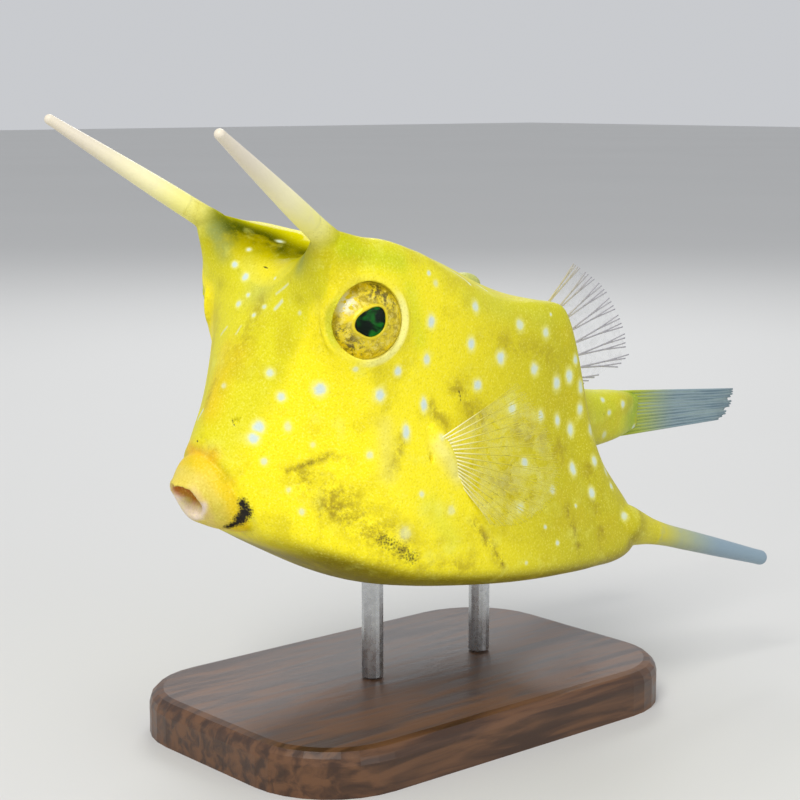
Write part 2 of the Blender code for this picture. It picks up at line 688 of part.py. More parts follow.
def make_rods(carriers):
    """Upright rods whose tops follow the belly, one gap below it."""
    trees = []
    for carrier in carriers:
        corners = [carrier.matrix_world @ v.co for v in carrier.data.vertices]
        trees.append(BVHTree.FromPolygons(corners, [p.vertices[:] for p in carrier.data.polygons]))
    for name, along in (("stand_rod_front", ROD_AT[0]), ("stand_rod_rear", ROD_AT[1])):
        foot = pose_matrix() @ Vector((along, 0, 0))
        low, high = [], []
        bottom = BASE_SIZE[2] + GAP
        for i in range(ROD_SIDES):
            angle = 2 * math.pi * i / ROD_SIDES
            x = foot.x + ROD_RADIUS * math.cos(angle)
            y = foot.y + ROD_RADIUS * math.sin(angle)
            hits = [tree.ray_cast(Vector((x, y, bottom)), Vector((0, 0, 1)))[0] for tree in trees]
            top = min(hit.z for hit in hits if hit)
            low.append(np.array((x, y, bottom)))
            high.append(np.array((x, y, top - GAP)))
        loft(name, [low, high], STEEL)


def main():
    clear_scene()
    body = make_body()
    head = make_head(body)
    make_lips(body)
    torso = make_torso(body)
    stalk = make_stalk(body)
    bpy.data.objects.remove(body, do_unlink=True)
    make_pectorals(torso)
    make_median_fin("dorsal_fin", torso, DORSAL_ROOTS, DORSAL_ANGLES, DORSAL_LENGTHS, DORSAL_RAYS)
    make_median_fin("anal_fin", torso, ANAL_ROOTS, ANAL_ANGLES, ANAL_LENGTHS, ANAL_RAYS)
    make_caudal(stalk)
    pose_fish()
    make_base()
    make_rods([torso, head])


main()
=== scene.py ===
"""Looks of the longhorn cowfish model: one spotted skin, eyes, horns, rayed fins and the stand.

Every piece of the fish is built in the fish frame, with x from the snout to the tail, y to the fish's
right and z up, and is placed by one pose matrix, so object coordinates are fish coordinates.
"""

import math
from collections import namedtuple

import bmesh
import bpy
import numpy as np
from mathutils import Matrix, Vector
from mathutils.bvhtree import BVHTree


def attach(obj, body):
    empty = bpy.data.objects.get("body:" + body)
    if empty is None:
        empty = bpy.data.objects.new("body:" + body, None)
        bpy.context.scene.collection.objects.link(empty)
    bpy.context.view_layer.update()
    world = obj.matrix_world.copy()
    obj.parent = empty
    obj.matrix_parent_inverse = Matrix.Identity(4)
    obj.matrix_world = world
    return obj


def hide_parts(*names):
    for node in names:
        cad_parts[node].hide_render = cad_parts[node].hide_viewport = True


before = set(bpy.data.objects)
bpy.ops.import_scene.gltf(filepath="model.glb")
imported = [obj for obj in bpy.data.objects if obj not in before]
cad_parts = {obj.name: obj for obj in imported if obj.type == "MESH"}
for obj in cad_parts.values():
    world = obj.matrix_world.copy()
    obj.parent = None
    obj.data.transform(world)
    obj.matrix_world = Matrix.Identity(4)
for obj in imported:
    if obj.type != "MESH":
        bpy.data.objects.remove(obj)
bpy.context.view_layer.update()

MM = 0.001


def mm(*lengths):
    return tuple(length * MM for length in lengths)


SIDES = ((-1, "left"), (1, "right"))

# Pose of the fish frame and the camera, as the part has them.
VIEW_YAW = math.radians(41.0)
VIEW_RISE = math.radians(9.2)
BANK = math.radians(3.0)
FISH_AT = mm(-54.28, 0.86, 23.5)
CAMERA_TARGET = mm(39.1, 0.0, 25.9)
CAMERA_DISTANCE = 278.0 * MM
FOCAL_PIXELS = 1900.0
PICTURE = 800

# Lengthwise lines of the right half, in mm, as in the part: crown (x, z), ridge (x, y, z), keel (x, y, z),
# belly (x, z), then how far the flank bows out between ridge and keel, and the roundness of both.
STATIONS = np.array([
    (0.3, 17.3, 1.5, 2.9, 16.9, 3.5, 3.1, 12.6, 3.1, 11.8, 0.9, 1.0),
    (1.4, 18.6, 2.6, 3.6, 18.2, 4.8, 4.4, 11.8, 4.9, 11.0, 1.4, 1.0),
    (3.2, 21.2, 4.7, 4.2, 20.6, 6.8, 5.4, 11.7, 7.2, 10.4, 1.4, 1.0),
    (4.1, 23.4, 5.7, 4.7, 22.6, 8.0, 6.2, 11.5, 8.9, 9.9, 1.2, 0.9),
    (5.2, 26.8, 8.1, 6.1, 26.4, 11.4, 11.0, 10.2, 12.8, 7.7, 0.9, 0.6),
    (7.6, 32.8, 11.0, 8.3, 33.0, 15.7, 16.0, 8.8, 17.5, 5.2, 0.5, 0.5),
    (11.3, 40.0, 12.9, 10.2, 41.2, 20.0, 18.7, 7.4, 23.0, 2.6, 0.2, 0.45),
    (16.0, 46.4, 13.4, 12.8, 50.2, 24.5, 20.4, 6.2, 28.0, 0.9, 0.1, 0.4),
    (22.0, 47.6, 20.5, 13.6, 51.0, 30.0, 21.5, 5.4, 34.0, -0.1, 0.0, 0.4),
    (30.0, 49.7, 30.0, 13.5, 48.6, 37.0, 22.3, 4.7, 41.0, -0.6, -0.2, 0.4),
    (39.0, 47.8, 38.5, 13.2, 44.8, 45.0, 22.5, 4.1, 49.0, -1.0, -0.4, 0.4),
    (48.0, 44.2, 47.0, 13.0, 41.6, 53.5, 22.1, 3.8, 57.0, -1.1, -0.5, 0.4),
    (55.0, 40.8, 55.2, 12.8, 41.1, 61.0, 21.0, 3.6, 63.5, -0.7, -0.7, 0.4),
    (58.9, 39.8, 59.6, 12.0, 40.2, 67.8, 19.0, 4.4, 68.2, 0.5, 0.0, 0.4),
    (60.9, 36.4, 60.9, 9.4, 35.4, 71.0, 15.4, 7.6, 71.0, 3.6, 0.0, 0.7),
    (64.2, 32.0, 66.0, 6.0, 30.4, 73.6, 9.2, 12.2, 74.2, 9.6, 0.2, 0.9),
    (71.6, 26.2, 73.4, 3.6, 25.2, 76.4, 3.6, 16.9, 76.8, 15.6, 1.0, 1.0),
    (79.5, 24.9, 79.5, 2.4, 24.3, 79.5, 2.5, 16.5, 79.5, 15.8, 0.9, 1.0),
    (85.0, 24.5, 85.0, 1.7, 24.1, 85.0, 1.7, 17.1, 85.0, 16.6, 0.8, 1.0),
    (88.4, 24.0, 88.4, 0.6, 23.6, 88.4, 0.6, 17.6, 88.4, 17.2, 0.35, 1.0),
    (90.6, 23.3, 90.6, 0.2, 23.0, 90.6, 0.2, 18.2, 90.6, 17.9, 0.05, 1.0),
])
SKIN_STEP = 0.6 * MM
SKIN_AROUND = (22, 36, 36, 34)
SKIN_VOXEL = 0.27 * MM
SKIN_YELLOW = (252, 236, 4)
# Shares of each way that the smoothing moves a point towards its neighbours' middle, out and back.
SMOOTH_SHARES = (0.6, -0.62)

# Lips and mouth.
CREASE_AT = mm(2.4, 0.0, 22.9)
CREASE_NORMAL = (0.89, 0.0, 0.456)
INWARD = np.array(CREASE_NORMAL) / np.linalg.norm(CREASE_NORMAL)
UPWARD = np.array((-INWARD[2], 0.0, INWARD[0]))
CREASE_DEPTH = 0.4 * MM
CREASE_WIDTH = 0.4 * MM
# Swelling of the cheek behind the fold: share of its depth, distance behind it and width.
CHEEK_SWELL = (0.45, 1.1 * MM, 0.9 * MM)
# The fold ends behind this x and above this z.
CREASE_END = mm(14.0, 28.0)
MOUTH_AT = mm(1.5, 0.0, 14.6)
MOUTH_LIFT = 1.1 * MM
MOUTH_REACH = 6.0 * MM
# Rows from the throat to the rim: share of the rim's size, then depth behind it in mm, above and below.
LIP_ROWS = [
    (0.12, 3.0, 3.0), (0.38, 2.9, 2.6), (0.54, 2.4, 1.7), (0.63, 1.5, 0.95), (0.69, 0.5, 0.5),
    (0.74, -0.15, 0.15), (0.8, -0.5, -0.08), (0.88, -0.6, -0.15), (0.96, -0.35, -0.03),
]
# Heights over the mouth's middle, in mm, where the lower lip's rows end and the upper lip's begin.
LIP_BLEND = (-1.2, 1.6)
# Half width and half height of the lips, in mm, that their colours follow.
LIP_SIZE = (3.6, 2.6)
NOSTRIL_AT = mm(6.7, 4.2, 25.8)
NOSTRIL_SIZE = mm(0.5, 0.5, 0.5)
GILL_AT = mm(28.8, 18.8, 23.2)
GILL_SIZE = mm(0.4, 1.0, 3.6)
BACK_SPINE_AT = mm(50.6, 0.0, 42.8)
BACK_SPINE = mm(2.8, 1.8, 1.6)

# Horns: root and tip, profile rows of distance and radius in mm, where the skin's flare ends, height and
# width of the cone that the skin rises in, and where along the axis, in mm, the skin takes on the horn's
# colour. Then the sRGB colours of root, middle and tip, and where these meet, in mm past the flare.
Horn = namedtuple("Horn", "name root tip profile flare swell tinted colours turns")
HORNS = [
    Horn(
        "horn_", mm(16.6, 12.1, 49.2), mm(-9.3, 20.0, 64.6),
        [
            (0.0, 1.4), (3.0, 1.8), (5.5, 1.66), (7.5, 1.6), (9.5, 1.56),
            (12.0, 1.5), (18.0, 1.28), (24.0, 1.02), (30.0, 0.72),
        ],
        9.0 * MM, mm(2.4, 3.0), (3.5, 8.0),
        ((246, 240, 140), (250, 243, 192), (230, 220, 200)), ((-1.5, 7.0), (4.0, 17.5)),
    ),
    Horn(
        "rear_horn_", mm(64.0, 16.6, 9.0), mm(103.5, 18.5, -1.7),
        [
            (0.0, 1.6), (4.0, 3.0), (7.0, 3.2), (9.5, 2.7), (12.5, 2.08),
            (16.0, 1.72), (21.0, 1.6), (29.0, 1.45), (38.0, 1.2),
        ],
        14.0 * MM, mm(3.6, 6.0), (5.0, 11.0),
        ((208, 198, 20), (184, 184, 96), (134, 156, 170)), ((-1.5, 5.0), (-0.5, 15.0)),
    ),
]
# How far a horn's own piece starts inside the skin's flare, in mm, and its share of the width there.
HORN_SUNK = 1.5
HORN_FOOT = 0.8
HORN_SIDES = 40

# Eyes.
EYE_AT = mm(19.2, 15.0, 40.3)
EYE_AXIS = (-0.30, 0.94, 0.10)
EYE_RADIUS = 5.4 * MM
EYE_CURVE = 7.7 * MM
EYE_SIDES = 128
# Radius of the socket's wall over the eye's, and how far below and above the eye's middle it is trued.
SOCKET_SHARE = 0.965
SOCKET_DEPTHS = mm(-1.6, 4.0)
ORBIT_RADIUS = 5.95 * MM
ORBIT_THICK = 0.5 * MM
# Height and width of the skin's rise at the eye's rim, and how far along the eye's axis it reaches.
ORBIT_SWELL = mm(0.5, 1.6)
ORBIT_REACH = 6.0 * MM
# Cutter of the eye socket: rows of distance out of the head and radius.
SOCKET = [(-2.6 * MM, EYE_RADIUS * 0.86), (4.0 * MM, EYE_RADIUS * 0.92)]
# Distance from the pupil's middle to its edge in mm, by the angle in degrees from rearward towards up.
PUPIL_RADII = [
    (-180, 2.22), (-174, 2.29), (-151.7, 2.4), (-123, 1.93), (-87.6, 1.91), (-55.6, 1.86), (-26.6, 1.99),
    (0, 2.11), (42.5, 2.64), (57.3, 2.25), (98, 1.72), (145.6, 1.86), (180, 2.22),
]
# Turns in degrees that the outline is averaged over, and its shift rearward and up in mm.
PUPIL_TURNS = (-12, -6, 0, 6, 12)
PUPIL_SHIFT = (0.22, -0.3)
IRIS_DEPTH = 0.3 * MM
# Dark clouds of the iris and its painted highlight, in mm rearward and up from its middle, with their radii.
IRIS_CLOUDS = ((1.4, 4.0, 2.8), (3.4, 2.6, 2.2), (-3.6, -2.0, 2.2), (-2.0, -4.0, 2.4))
IRIS_PAINTED_HIGHLIGHT = (-3.4, 2.6, 2.4)

# Fins: roots in mm, angles of the first and last ray in degrees, and rows of angle and length in mm.
PECTORAL_AT = mm(31.2, 18.0, 21.8)
PECTORAL_LOBE = mm(2.1, 2.0, 5.0)
PECTORAL_LOBE_AXIS = (-0.4, -0.13, 0.9)
PECTORAL_RAYS = 16
PECTORAL_ROOTS = ((30.4, 19.3, 24.4), (32.8, 19.3, 18.8))
PECTORAL_ANGLES = (30, -56)
PECTORAL_LENGTHS = [(30, 13.6), (10, 15.6), (-12, 17.0), (-24, 15.6), (-40, 12.0), (-56, 8.0)]
PECTORAL_SPREAD = 0.27
FLANK_SLOPE = 0.22
DORSAL_RAYS = 8
DORSAL_ROOTS = ((62.5, 33.5), (68.4, 27.4))
DORSAL_ANGLES = (44, -4)
DORSAL_LENGTHS = [(44, 16.4), (30, 19.0), (12, 20.6), (3, 19.2), (-4, 11.0)]
ANAL_RAYS = 9
ANAL_ROOTS = ((70.6, 5.4), (72.6, 11.6))
ANAL_ANGLES = (-58, -14)
ANAL_LENGTHS = [(-58, 8.5), (-46, 11.0), (-34, 12.4), (-24, 11.2), (-14, 7.6)]
CAUDAL_RAYS = 13
# Share of the way up the tail fin, and how much shorter its edge is there.
CAUDAL_ENDS = [
    (0, 3.4), (0.17, 1.6), (0.25, 1.5), (0.33, 2.2), (0.42, 0.7),
    (0.58, 0.3), (0.67, 1.5), (0.8, 0.2), (1, 0.2),
]
CAUDAL_FROM = 86.0
CAUDAL_ROOT = (16.9, 24.2)
CAUDAL_TIP = (17.8, 22.8)
CAUDAL_LENGTH = 29.0
# How far a ray starts below the skin.
RAY_SUNK = 0.6 * MM
# Radius of a ray at its root and tip, half the membrane's thickness, and the membrane's share of the length.
PECTORAL_SIZES = (0.12 * MM, 0.04 * MM, 0.02 * MM, 0.985)
MEDIAN_SIZES = (0.21 * MM, 0.11 * MM, 0.02 * MM, 0.985)
CAUDAL_SIZES = (0.25 * MM, 0.17 * MM, 0.11 * MM, 1.005)
# Shares of a ray's length where it forks, and how much narrower each fork is than the one before.
PECTORAL_FORKS = (0.55, 0.8)
MEDIAN_FORKS = (0.45, 0.75)
FORK_SHRINK = 0.45
TWIG_STEPS = 6

# Studio: half the floor's side, and the place that the lamps face, in m.
FLOOR_HALF = 4.0
LIT_AT = (0, 0, 0.04)
SKY_COLOUR = (0.94, 0.96, 1.0, 1.0)
SKY_STRENGTH = 0.62
# Lamps: name, place and width in m, power, colour.
LAMPS = [
    ("key", (-0.45, -0.25, 0.6), 0.35, 3.4, (1.0, 0.98, 0.94)),
    ("fill", (0.1, -0.7, 0.2), 0.5, 0.7, (1, 1, 1)),
    ("rim", (0.35, 0.4, 0.45), 0.3, 1.2, (1, 1, 1)),
]

# Pale spots seen in the photograph: pixel, radius in pixels, strength, and height over width if not round.
SPOTS = [
    (319.7, 389.2, 6.6, 1.0), (380, 395, 5.8, 1.0, 1.1), (258.3, 426.7, 6.0, 1.0), (253.3, 438.3, 5.8, 1.0),
    (270, 373, 4.6, 0.8), (281.2, 396.7, 4.6, 0.85), (264.2, 461.7, 4.0, 0.6),
    (287.5, 426.7, 4.0, 0.45, 1.3), (312.8, 444.7, 3.0, 0.35), (288.3, 490, 3.0, 0.4),
    (301.7, 511.7, 3.5, 0.5), (423.7, 404.7, 4.4, 0.95, 1.7), (406.3, 432.5, 4.6, 0.95, 1.7),
    (369.5, 455, 4.0, 0.5), (421.7, 494.2, 3.4, 0.6), (451.3, 510.3, 5.0, 0.3), (405, 533, 7.0, 0.3),
    (500.8, 357.5, 6.2, 1.0), (520, 325.3, 5.0, 0.7, 1.2), (545.8, 332.5, 4.6, 0.7, 1.2),
    (550.8, 314.5, 1.8, 0.9), (534.5, 369.2, 5.0, 0.8, 1.2), (556.7, 383.3, 5.0, 0.9, 1.4),
    (569.2, 375.8, 4.6, 0.9, 1.5), (575.5, 359.5, 3.6, 0.9, 1.4), (580.8, 386.7, 4.4, 0.8, 1.5),
    (580, 409.2, 4.0, 0.8, 1.5), (512.5, 408.3, 5.4, 0.8, 1.1), (540.8, 415.8, 4.4, 0.7, 1.3),
    (557.2, 420, 4.0, 0.9, 1.5), (570.3, 429.7, 4.4, 0.9, 1.5), (590.3, 430, 4.0, 0.6, 1.5),
    (477.5, 385, 5.6, 1.0), (602.5, 399.7, 3.2, 0.9, 0.8), (623, 404.2, 3.6, 0.9), (609.2, 412.5, 2.8, 0.9),
    (633.3, 427, 2.6, 0.9), (604.2, 435, 4.0, 0.4), (524.7, 462.5, 5.2, 0.9), (572.8, 469.2, 4.8, 0.9, 1.4),
    (591.7, 492.8, 4.4, 0.9, 1.3), (594.2, 460.8, 4.0, 0.8, 1.4), (600, 450, 3.0, 0.8, 1.3),
    (605.8, 471.7, 3.6, 0.5, 1.3), (611.2, 485.8, 3.0, 0.8, 1.3), (624.2, 515.8, 4.4, 0.6, 1.1),
    (552.5, 490, 4.4, 0.5), (520.8, 507.5, 5.6, 0.5), (575.8, 505.8, 2.0, 0.8), (545.3, 527, 2.2, 0.8),
    (557.5, 543, 2.6, 0.8), (526.3, 563, 2.2, 0.5), (431.3, 321.7, 5.6, 1.0, 1.15),
    (471.3, 344.2, 5.2, 1.0, 1.25), (426.7, 359.2, 4.8, 0.8, 1.25), (397.5, 370.8, 4.6, 0.9, 1.1),
    (355.5, 369.2, 3.5, 0.5, 0.8), (428.8, 273, 2.6, 0.8), (435.8, 283.3, 4.0, 0.4),
    (475.5, 306.7, 4.8, 0.8, 1.2), (280, 241.3, 3.6, 0.7, 0.8), (248.8, 249.5, 2.6, 0.8),
    (234.7, 264.7, 4.0, 1.0, 0.8), (245.3, 276.7, 4.4, 1.0, 0.9), (275, 278.3, 2.2, 0.8, 0.8),
    (248.3, 295, 3.0, 0.9, 0.8), (238.7, 303.7, 4.0, 0.8, 0.9), (264.2, 306.7, 3.4, 0.8, 0.7),
    (253.8, 315.3, 2.6, 0.8), (299.5, 313, 2.4, 0.4), (223.7, 385.8, 3.0, 0.4), (442, 437, 4.0, 0.3),
]

# How many half widths out from a mark, a tint or zone of painted shade, or a pale spot the skin takes its
# colour.
MARK_SPREAD = 2
TINT_SPREAD = 3
SPOT_SPREAD = 5
# How steeply a dark mark fades, and how far from the midline, in mm, a mark has a twin.
MARK_FADE = 1.2
TWIN_FROM = 1.5

# Pale streaks: two pixels, half width in pixels, strength.
STREAKS = [
    (276, 294, 288, 284, 1.6, 0.4), (275, 309, 282, 301, 2.2, 0.55),
    (451.7, 270.8, 470, 284.2, 1.7, 0.9), (477.5, 285, 486.7, 290.8, 1.5, 0.9),
    (198, 419, 203, 410, 1.8, 0.8), (221, 335, 227, 327, 1.6, 0.4), (236, 334, 241, 326, 1.4, 0.35),
]

# Dark marks: two pixels, half width in pixels, strength.
DARK_MARKS = [
    (243, 503, 246, 511, 8.6, 1.15), (246, 511, 241, 519, 10.6, 1.25), (240, 521, 228, 527, 7.0, 1.15),
    (232.5, 420, 234.5, 426, 1.8, 0.8), (240, 417, 240.4, 418, 1.5, 0.7),
    (197, 441, 197.5, 441.5, 1.6, 1.0), (186, 447, 190, 455, 2.4, 0.5), (300, 466, 312, 462, 4.0, 0.55),
    (316, 458, 330, 452, 3.5, 0.35), (279, 471, 292, 463, 2.5, 0.3), (459, 391, 461, 400, 2.4, 0.8),
    (446, 420, 451, 414, 2.0, 0.5), (434, 415, 437, 421, 1.6, 0.6), (336, 512, 368, 540, 17.0, 0.38),
    (384, 540, 412, 558, 13.0, 0.72), (474, 523, 487, 540, 5.0, 0.5), (487, 540, 503, 564, 5.5, 0.5),
    (567, 508, 574, 528, 5.0, 0.42), (574, 528, 580, 552, 5.0, 0.42), (582, 502, 584, 510, 2.5, 0.4),
    (594, 503, 595, 510, 2.2, 0.4), (495, 458, 497, 459, 1.6, 0.6), (499, 430, 500, 431, 1.6, 0.7),
    (486, 451, 487, 452, 1.5, 0.5), (264, 267, 268, 268, 1.6, 1.0), (391, 370, 392, 371, 1.2, 0.6),
    (604, 414, 604.5, 416, 1.4, 0.7),
]

# Tinted zones of the skin and zones of painted shade, on both sides: two pixels, half width in pixels,
# strength, sRGB colour.
TINTS_AND_SHADE = [
    (214, 214, 236, 228, 16, 0.6, (92, 108, 40)),  # painted shade in the valley behind the far brow
    (236, 228, 262, 238, 26, 0.95, (60, 74, 2)),  # painted shade in the middle of the valley
    (262, 238, 300, 254, 28, 0.97, (66, 70, 0)),  # painted shadow of the near brow and horn in the valley beside them
    (212, 230, 224, 252, 11, 0.5, (128, 148, 110)),  # painted shade on the front of the far brow
    (246, 262, 262, 300, 12, 0.35, (190, 196, 90)),  # pale forehead
    (300, 300, 292, 250, 7, 0.4, (170, 160, 4)),  # painted shade along the inner edge of the near brow
    (345, 250, 400, 262, 14, 0.6, (186, 206, 10)),  # brow
    (410, 290, 420, 340, 12, 0.4, (200, 216, 20)),  # behind the eye
    (225, 350, 212, 410, 14, 0.4, (236, 196, 6)),  # front of the snout
    (188, 448, 210, 458, 8, 0.75, (236, 184, 0)),  # amber band of the snout
    (210, 458, 232, 482, 6, 0.6, (238, 198, 10)),  # its lower end
    (430, 505, 452, 540, 14, 0.35, (200, 212, 70)),  # behind the pectoral fin
    (385, 425, 388, 475, 10, 0.3, (216, 212, 130)),  # pale cloud before the gill
    (440, 446, 458, 476, 9, 0.5, (252, 248, 170)),  # root of the pectoral fin
    (470, 300, 545, 320, 14, 0.35, (196, 200, 60)),  # rear back
]

# Shaded, matt zones of the skin, on both sides: two pixels, half width in pixels, strength.
MATT = [(236, 228, 292, 250, 34, 1.3), (250, 226, 290, 236, 16, 1.3)]

# Zones of brown mottling, on both sides: two pixels, half width in pixels, strength.
MURK = [
    (300, 478, 350, 500, 15, 0.75), (330, 505, 400, 545, 19, 0.85), (388, 542, 410, 556, 12, 0.9),
    (288, 472, 330, 455, 5, 0.8), (330, 455, 352, 462, 6, 0.5), (474, 523, 503, 564, 7, 0.75),
    (567, 508, 580, 552, 7, 0.7), (590, 470, 604, 540, 12, 0.5), (455, 388, 482, 420, 14, 0.6),
    (428, 402, 446, 424, 9, 0.6), (404, 436, 394, 468, 7, 0.6), (262, 300, 240, 350, 12, 0.4),
    (520, 430, 560, 450, 16, 0.5), (480, 470, 530, 500, 14, 0.45), (200, 440, 212, 452, 6, 0.5),
    (206, 404, 214, 380, 7, 0.4), (360, 560, 470, 566, 12, 0.5), (500, 340, 560, 360, 14, 0.35),
]


def srgb(red, green, blue):
    """Linear colour of an sRGB colour given in 0 to 255."""
    shares = [c / 255 for c in (red, green, blue)]
    return tuple(c / 12.92 if c < 0.0404 else ((c + 0.055) / 1.055) ** 2.4 for c in shares)


def view_back():
    """Unit vector from the fish to the camera, in the world."""
    flat = math.cos(VIEW_RISE)
    return Vector((-math.sin(VIEW_YAW) * flat, -math.cos(VIEW_YAW) * flat, math.sin(VIEW_RISE)))


POSE = Matrix.Translation(FISH_AT) @ Matrix.Rotation(-BANK, 4, view_back())


def aim(obj, way):
    """Turns a camera or a lamp to look along a direction."""
    obj.rotation_euler = way.to_track_quat("-Z", "Y").to_euler()


def placed(name, data):
    obj = bpy.data.objects.new(name, data)
    bpy.context.scene.collection.objects.link(obj)
    return obj


def make_camera():
    data = bpy.data.cameras.new("camera")
    data.sensor_width = 36.0
    data.lens = 36.0 * FOCAL_PIXELS / PICTURE
    data.clip_start = 0.01
    camera = placed("camera", data)
    camera.location = POSE @ Vector(CAMERA_TARGET) + view_back() * CAMERA_DISTANCE
    aim(camera, -view_back())
    bpy.context.scene.camera = camera
    bpy.context.view_layer.update()
    return camera


def pixel_ray(camera, u, v):
    """Start and direction, in the fish frame, of the ray through a pixel of the photograph."""
    half = PICTURE / 2
    place = POSE.inverted() @ camera.matrix_world
    way = Vector(((u - half) / FOCAL_PIXELS, (half - v) / FOCAL_PIXELS, -1.0))
    return place.translation, (place.to_3x3() @ way).normalized()


def new_object(name, points, faces):
    mesh = bpy.data.meshes.new(name)
    mesh.from_pydata([tuple(p) for p in points], [], [tuple(f) for f in faces])
    mesh.validate()
    obj = placed(name, mesh)
    obj.matrix_world = POSE
    mesh.shade_smooth()
    return obj


def unit(vectors):
    lengths = np.linalg.norm(vectors, axis=-1, keepdims=True)
    return vectors / np.maximum(lengths, 1e-12)


def heading(before, here, after):
    back, ahead = here - before, after - here
    back_length = np.linalg.norm(back, axis=-1, keepdims=True)
    ahead_length = np.linalg.norm(ahead, axis=-1, keepdims=True)
    return unit(unit(back) * ahead_length + unit(ahead) * back_length)


def span(start, end, start_slope, end_slope, t):
    return (
        start * (2 * t**3 - 3 * t**2 + 1)
        + start_slope * (t**3 - 2 * t**2 + t)
        + end * (3 * t**2 - 2 * t**3)
        + end_slope * (t**3 - t**2)
    )


def smooth_line(points, steps):
    points = np.asarray(points, float)
    last = len(points) - 1
    ways = [heading(points[max(i - 1, 0)], points[i], points[min(i + 1, last)]) for i in range(last + 1)]
    line = []
    for i in range(last):
        chord = np.linalg.norm(points[i + 1] - points[i])
        for step in range(steps[i]):
            line.append(span(points[i], points[i + 1], ways[i] * chord, ways[i + 1] * chord, step / steps[i]))
    line.append(points[-1])
    return np.array(line)


def body_rings(ring_step, around):
    """Sections of the body, as an array of rings by points by coordinates."""
    crown, belly = (np.insert(STATIONS[:, at:at + 2], 1, 0.0, axis=1) * MM for at in (0, 8))
    ridge, keel = (STATIONS[:, at:at + 3] * MM for at in (2, 5))
    flank = (ridge + keel) / 2
    flank[:, 1] += STATIONS[:, 10] * MM
    gaps = [np.linalg.norm(np.diff(line, axis=0), axis=1) for line in (crown, ridge, flank, belly)]
    steps = [max(1, round(length / ring_step)) for length in np.max(gaps, axis=0)]
    keys = [smooth_line(line, steps) for line in (crown, ridge, flank, keel, belly)]
    places = np.concatenate([np.arange(n) / n + i for i, n in enumerate(steps)] + [[len(steps)]])
    roundness = np.interp(places, range(len(STATIONS)), STATIONS[:, 11])[:, None]
    across = np.tile((0.0, 1.0, 0.0), (len(roundness), 1))
    ways = [across] + [heading(keys[i - 1], keys[i], keys[i + 1]) for i in (1, 2, 3)] + [-across]
    pull = [0.9, roundness, 0.9, roundness, 0.9]
    half = []
    for i in range(4):
        chord = np.linalg.norm(keys[i + 1] - keys[i], axis=1, keepdims=True)
        for step in range(around[i]):
            slopes = ways[i] * pull[i] * chord, ways[i + 1] * pull[i + 1] * chord
            half.append(span(keys[i], keys[i + 1], *slopes, step / around[i]))
    half.append(keys[4])
    other = [p * (1, -1, 1) for p in half[-2:0:-1]]
    return np.array(half + other).transpose(1, 0, 2)


def swollen(points):
    """Skin points drawn out along each horn's axis, so that its root rises from a soft cone."""
    points = np.array(points)
    for horn, _, base, way in all_horns():
        height, width = horn.swell
        axis = unit(np.array(way))
        along, across = from_axis(points, np.array(base), axis)
        outside = np.clip(along / width + 0.6, 0.0, 1.0)
        points = points + (height * outside * np.exp(-((across / width) ** 2)))[..., None] * axis
    return points


def from_axis(points, base, axis):
    """How far points lie along an axis, and how far from it."""
    away = points - base
    along = away @ axis
    return along, np.linalg.norm(away - along[..., None] * axis, axis=-1)


def mirrored(point, side):
    return Vector((point[0], point[1] * side, point[2]))


def all_horns():
    """Each horn of each side, with its name, its root and the way from there to its tip."""
    for side, end in SIDES:
        for horn in HORNS:
            base = mirrored(horn.root, side)
            yield horn, horn.name + end, base, mirrored(horn.tip, side) - base


def eye_line(side):
    """Middle of an eye and its axis out of the head."""
    return np.array(mirrored(EYE_AT, side)), unit(np.array(mirrored(EYE_AXIS, side)))


def quads(ids, flip=False):
    """Faces between the neighbouring points of a grid of point numbers."""
    for a, b in zip(ids.tolist(), ids[1:].tolist()):
        for face in zip(a, a[1:], b[1:], b):
            yield face[::-1] if flip else face


def grid(rows, columns, wrap=(0, 1)):
    """Point numbers of a grid that closes round along its columns, or both ways."""
    ids = np.arange(rows * columns).reshape(rows, columns)
    return np.pad(ids, ((0, wrap[0]), (0, wrap[1])), mode="wrap")


def rings_mesh(rings, capped=True):
    """Points and faces of a skin over rings of equal point counts, with flat ends."""
    ids = grid(len(rings), len(rings[0]))
    faces = list(quads(ids))
    if capped:
        faces += [tuple(ids[0, -2::-1].tolist()), tuple(ids[-1, :-1].tolist())]
    return np.concatenate([np.asarray(ring) for ring in rings]), faces


def turn_to(axis):
    """Rotation that brings z to an axis."""
    return Vector((0, 0, 1)).rotation_difference(Vector(axis).normalized()).to_matrix()


def turned(base, axis, profile, sides=64):
    """Points and faces of a solid of revolution over rows of distance along the axis and radius."""
    turn = np.array(turn_to(axis))
    angles = np.arange(sides) * 2 * math.pi / sides
    rings = []
    for along, radius in profile:
        circle = np.stack([radius * np.cos(angles), radius * np.sin(angles), np.full(sides, along)], axis=1)
        rings.append(circle @ turn.T + np.array(base))
    return rings_mesh(rings)


def ring_tube(at, axis, major, minor, sides=96, around=16):
    turns = [np.arange(count) * 2 * math.pi / count for count in (sides, around)]
    a, b = np.meshgrid(*turns, indexing="ij")
    reach = major + minor * np.cos(b)
    points = np.stack([reach * np.cos(a), reach * np.sin(a), minor * np.sin(b)], axis=-1).reshape(-1, 3)
    faces = list(quads(grid(sides, around, (1, 1)), flip=True))
    return points @ np.array(turn_to(axis)).T + np.array(at), faces


def ellipsoid(at, size, axis=(0, 0, 1), detail=4):
    turn = turn_to(axis)
    bm = bmesh.new()
    bmesh.ops.create_icosphere(bm, subdivisions=detail, radius=1.0)
    points = [turn @ Vector([c * s for c, s in zip(v.co, size)]) + Vector(at) for v in bm.verts]
    faces = [tuple(v.index for v in f.verts) for f in bm.faces]
    bm.free()
    return np.array(points), faces


def joined(parts):
    points, faces, start = [], [], 0
    for some, its_faces in parts:
        points.append(some)
        faces += [tuple(i + start for i in face) for face in its_faces]
        start += len(some)
    return np.concatenate(points), faces


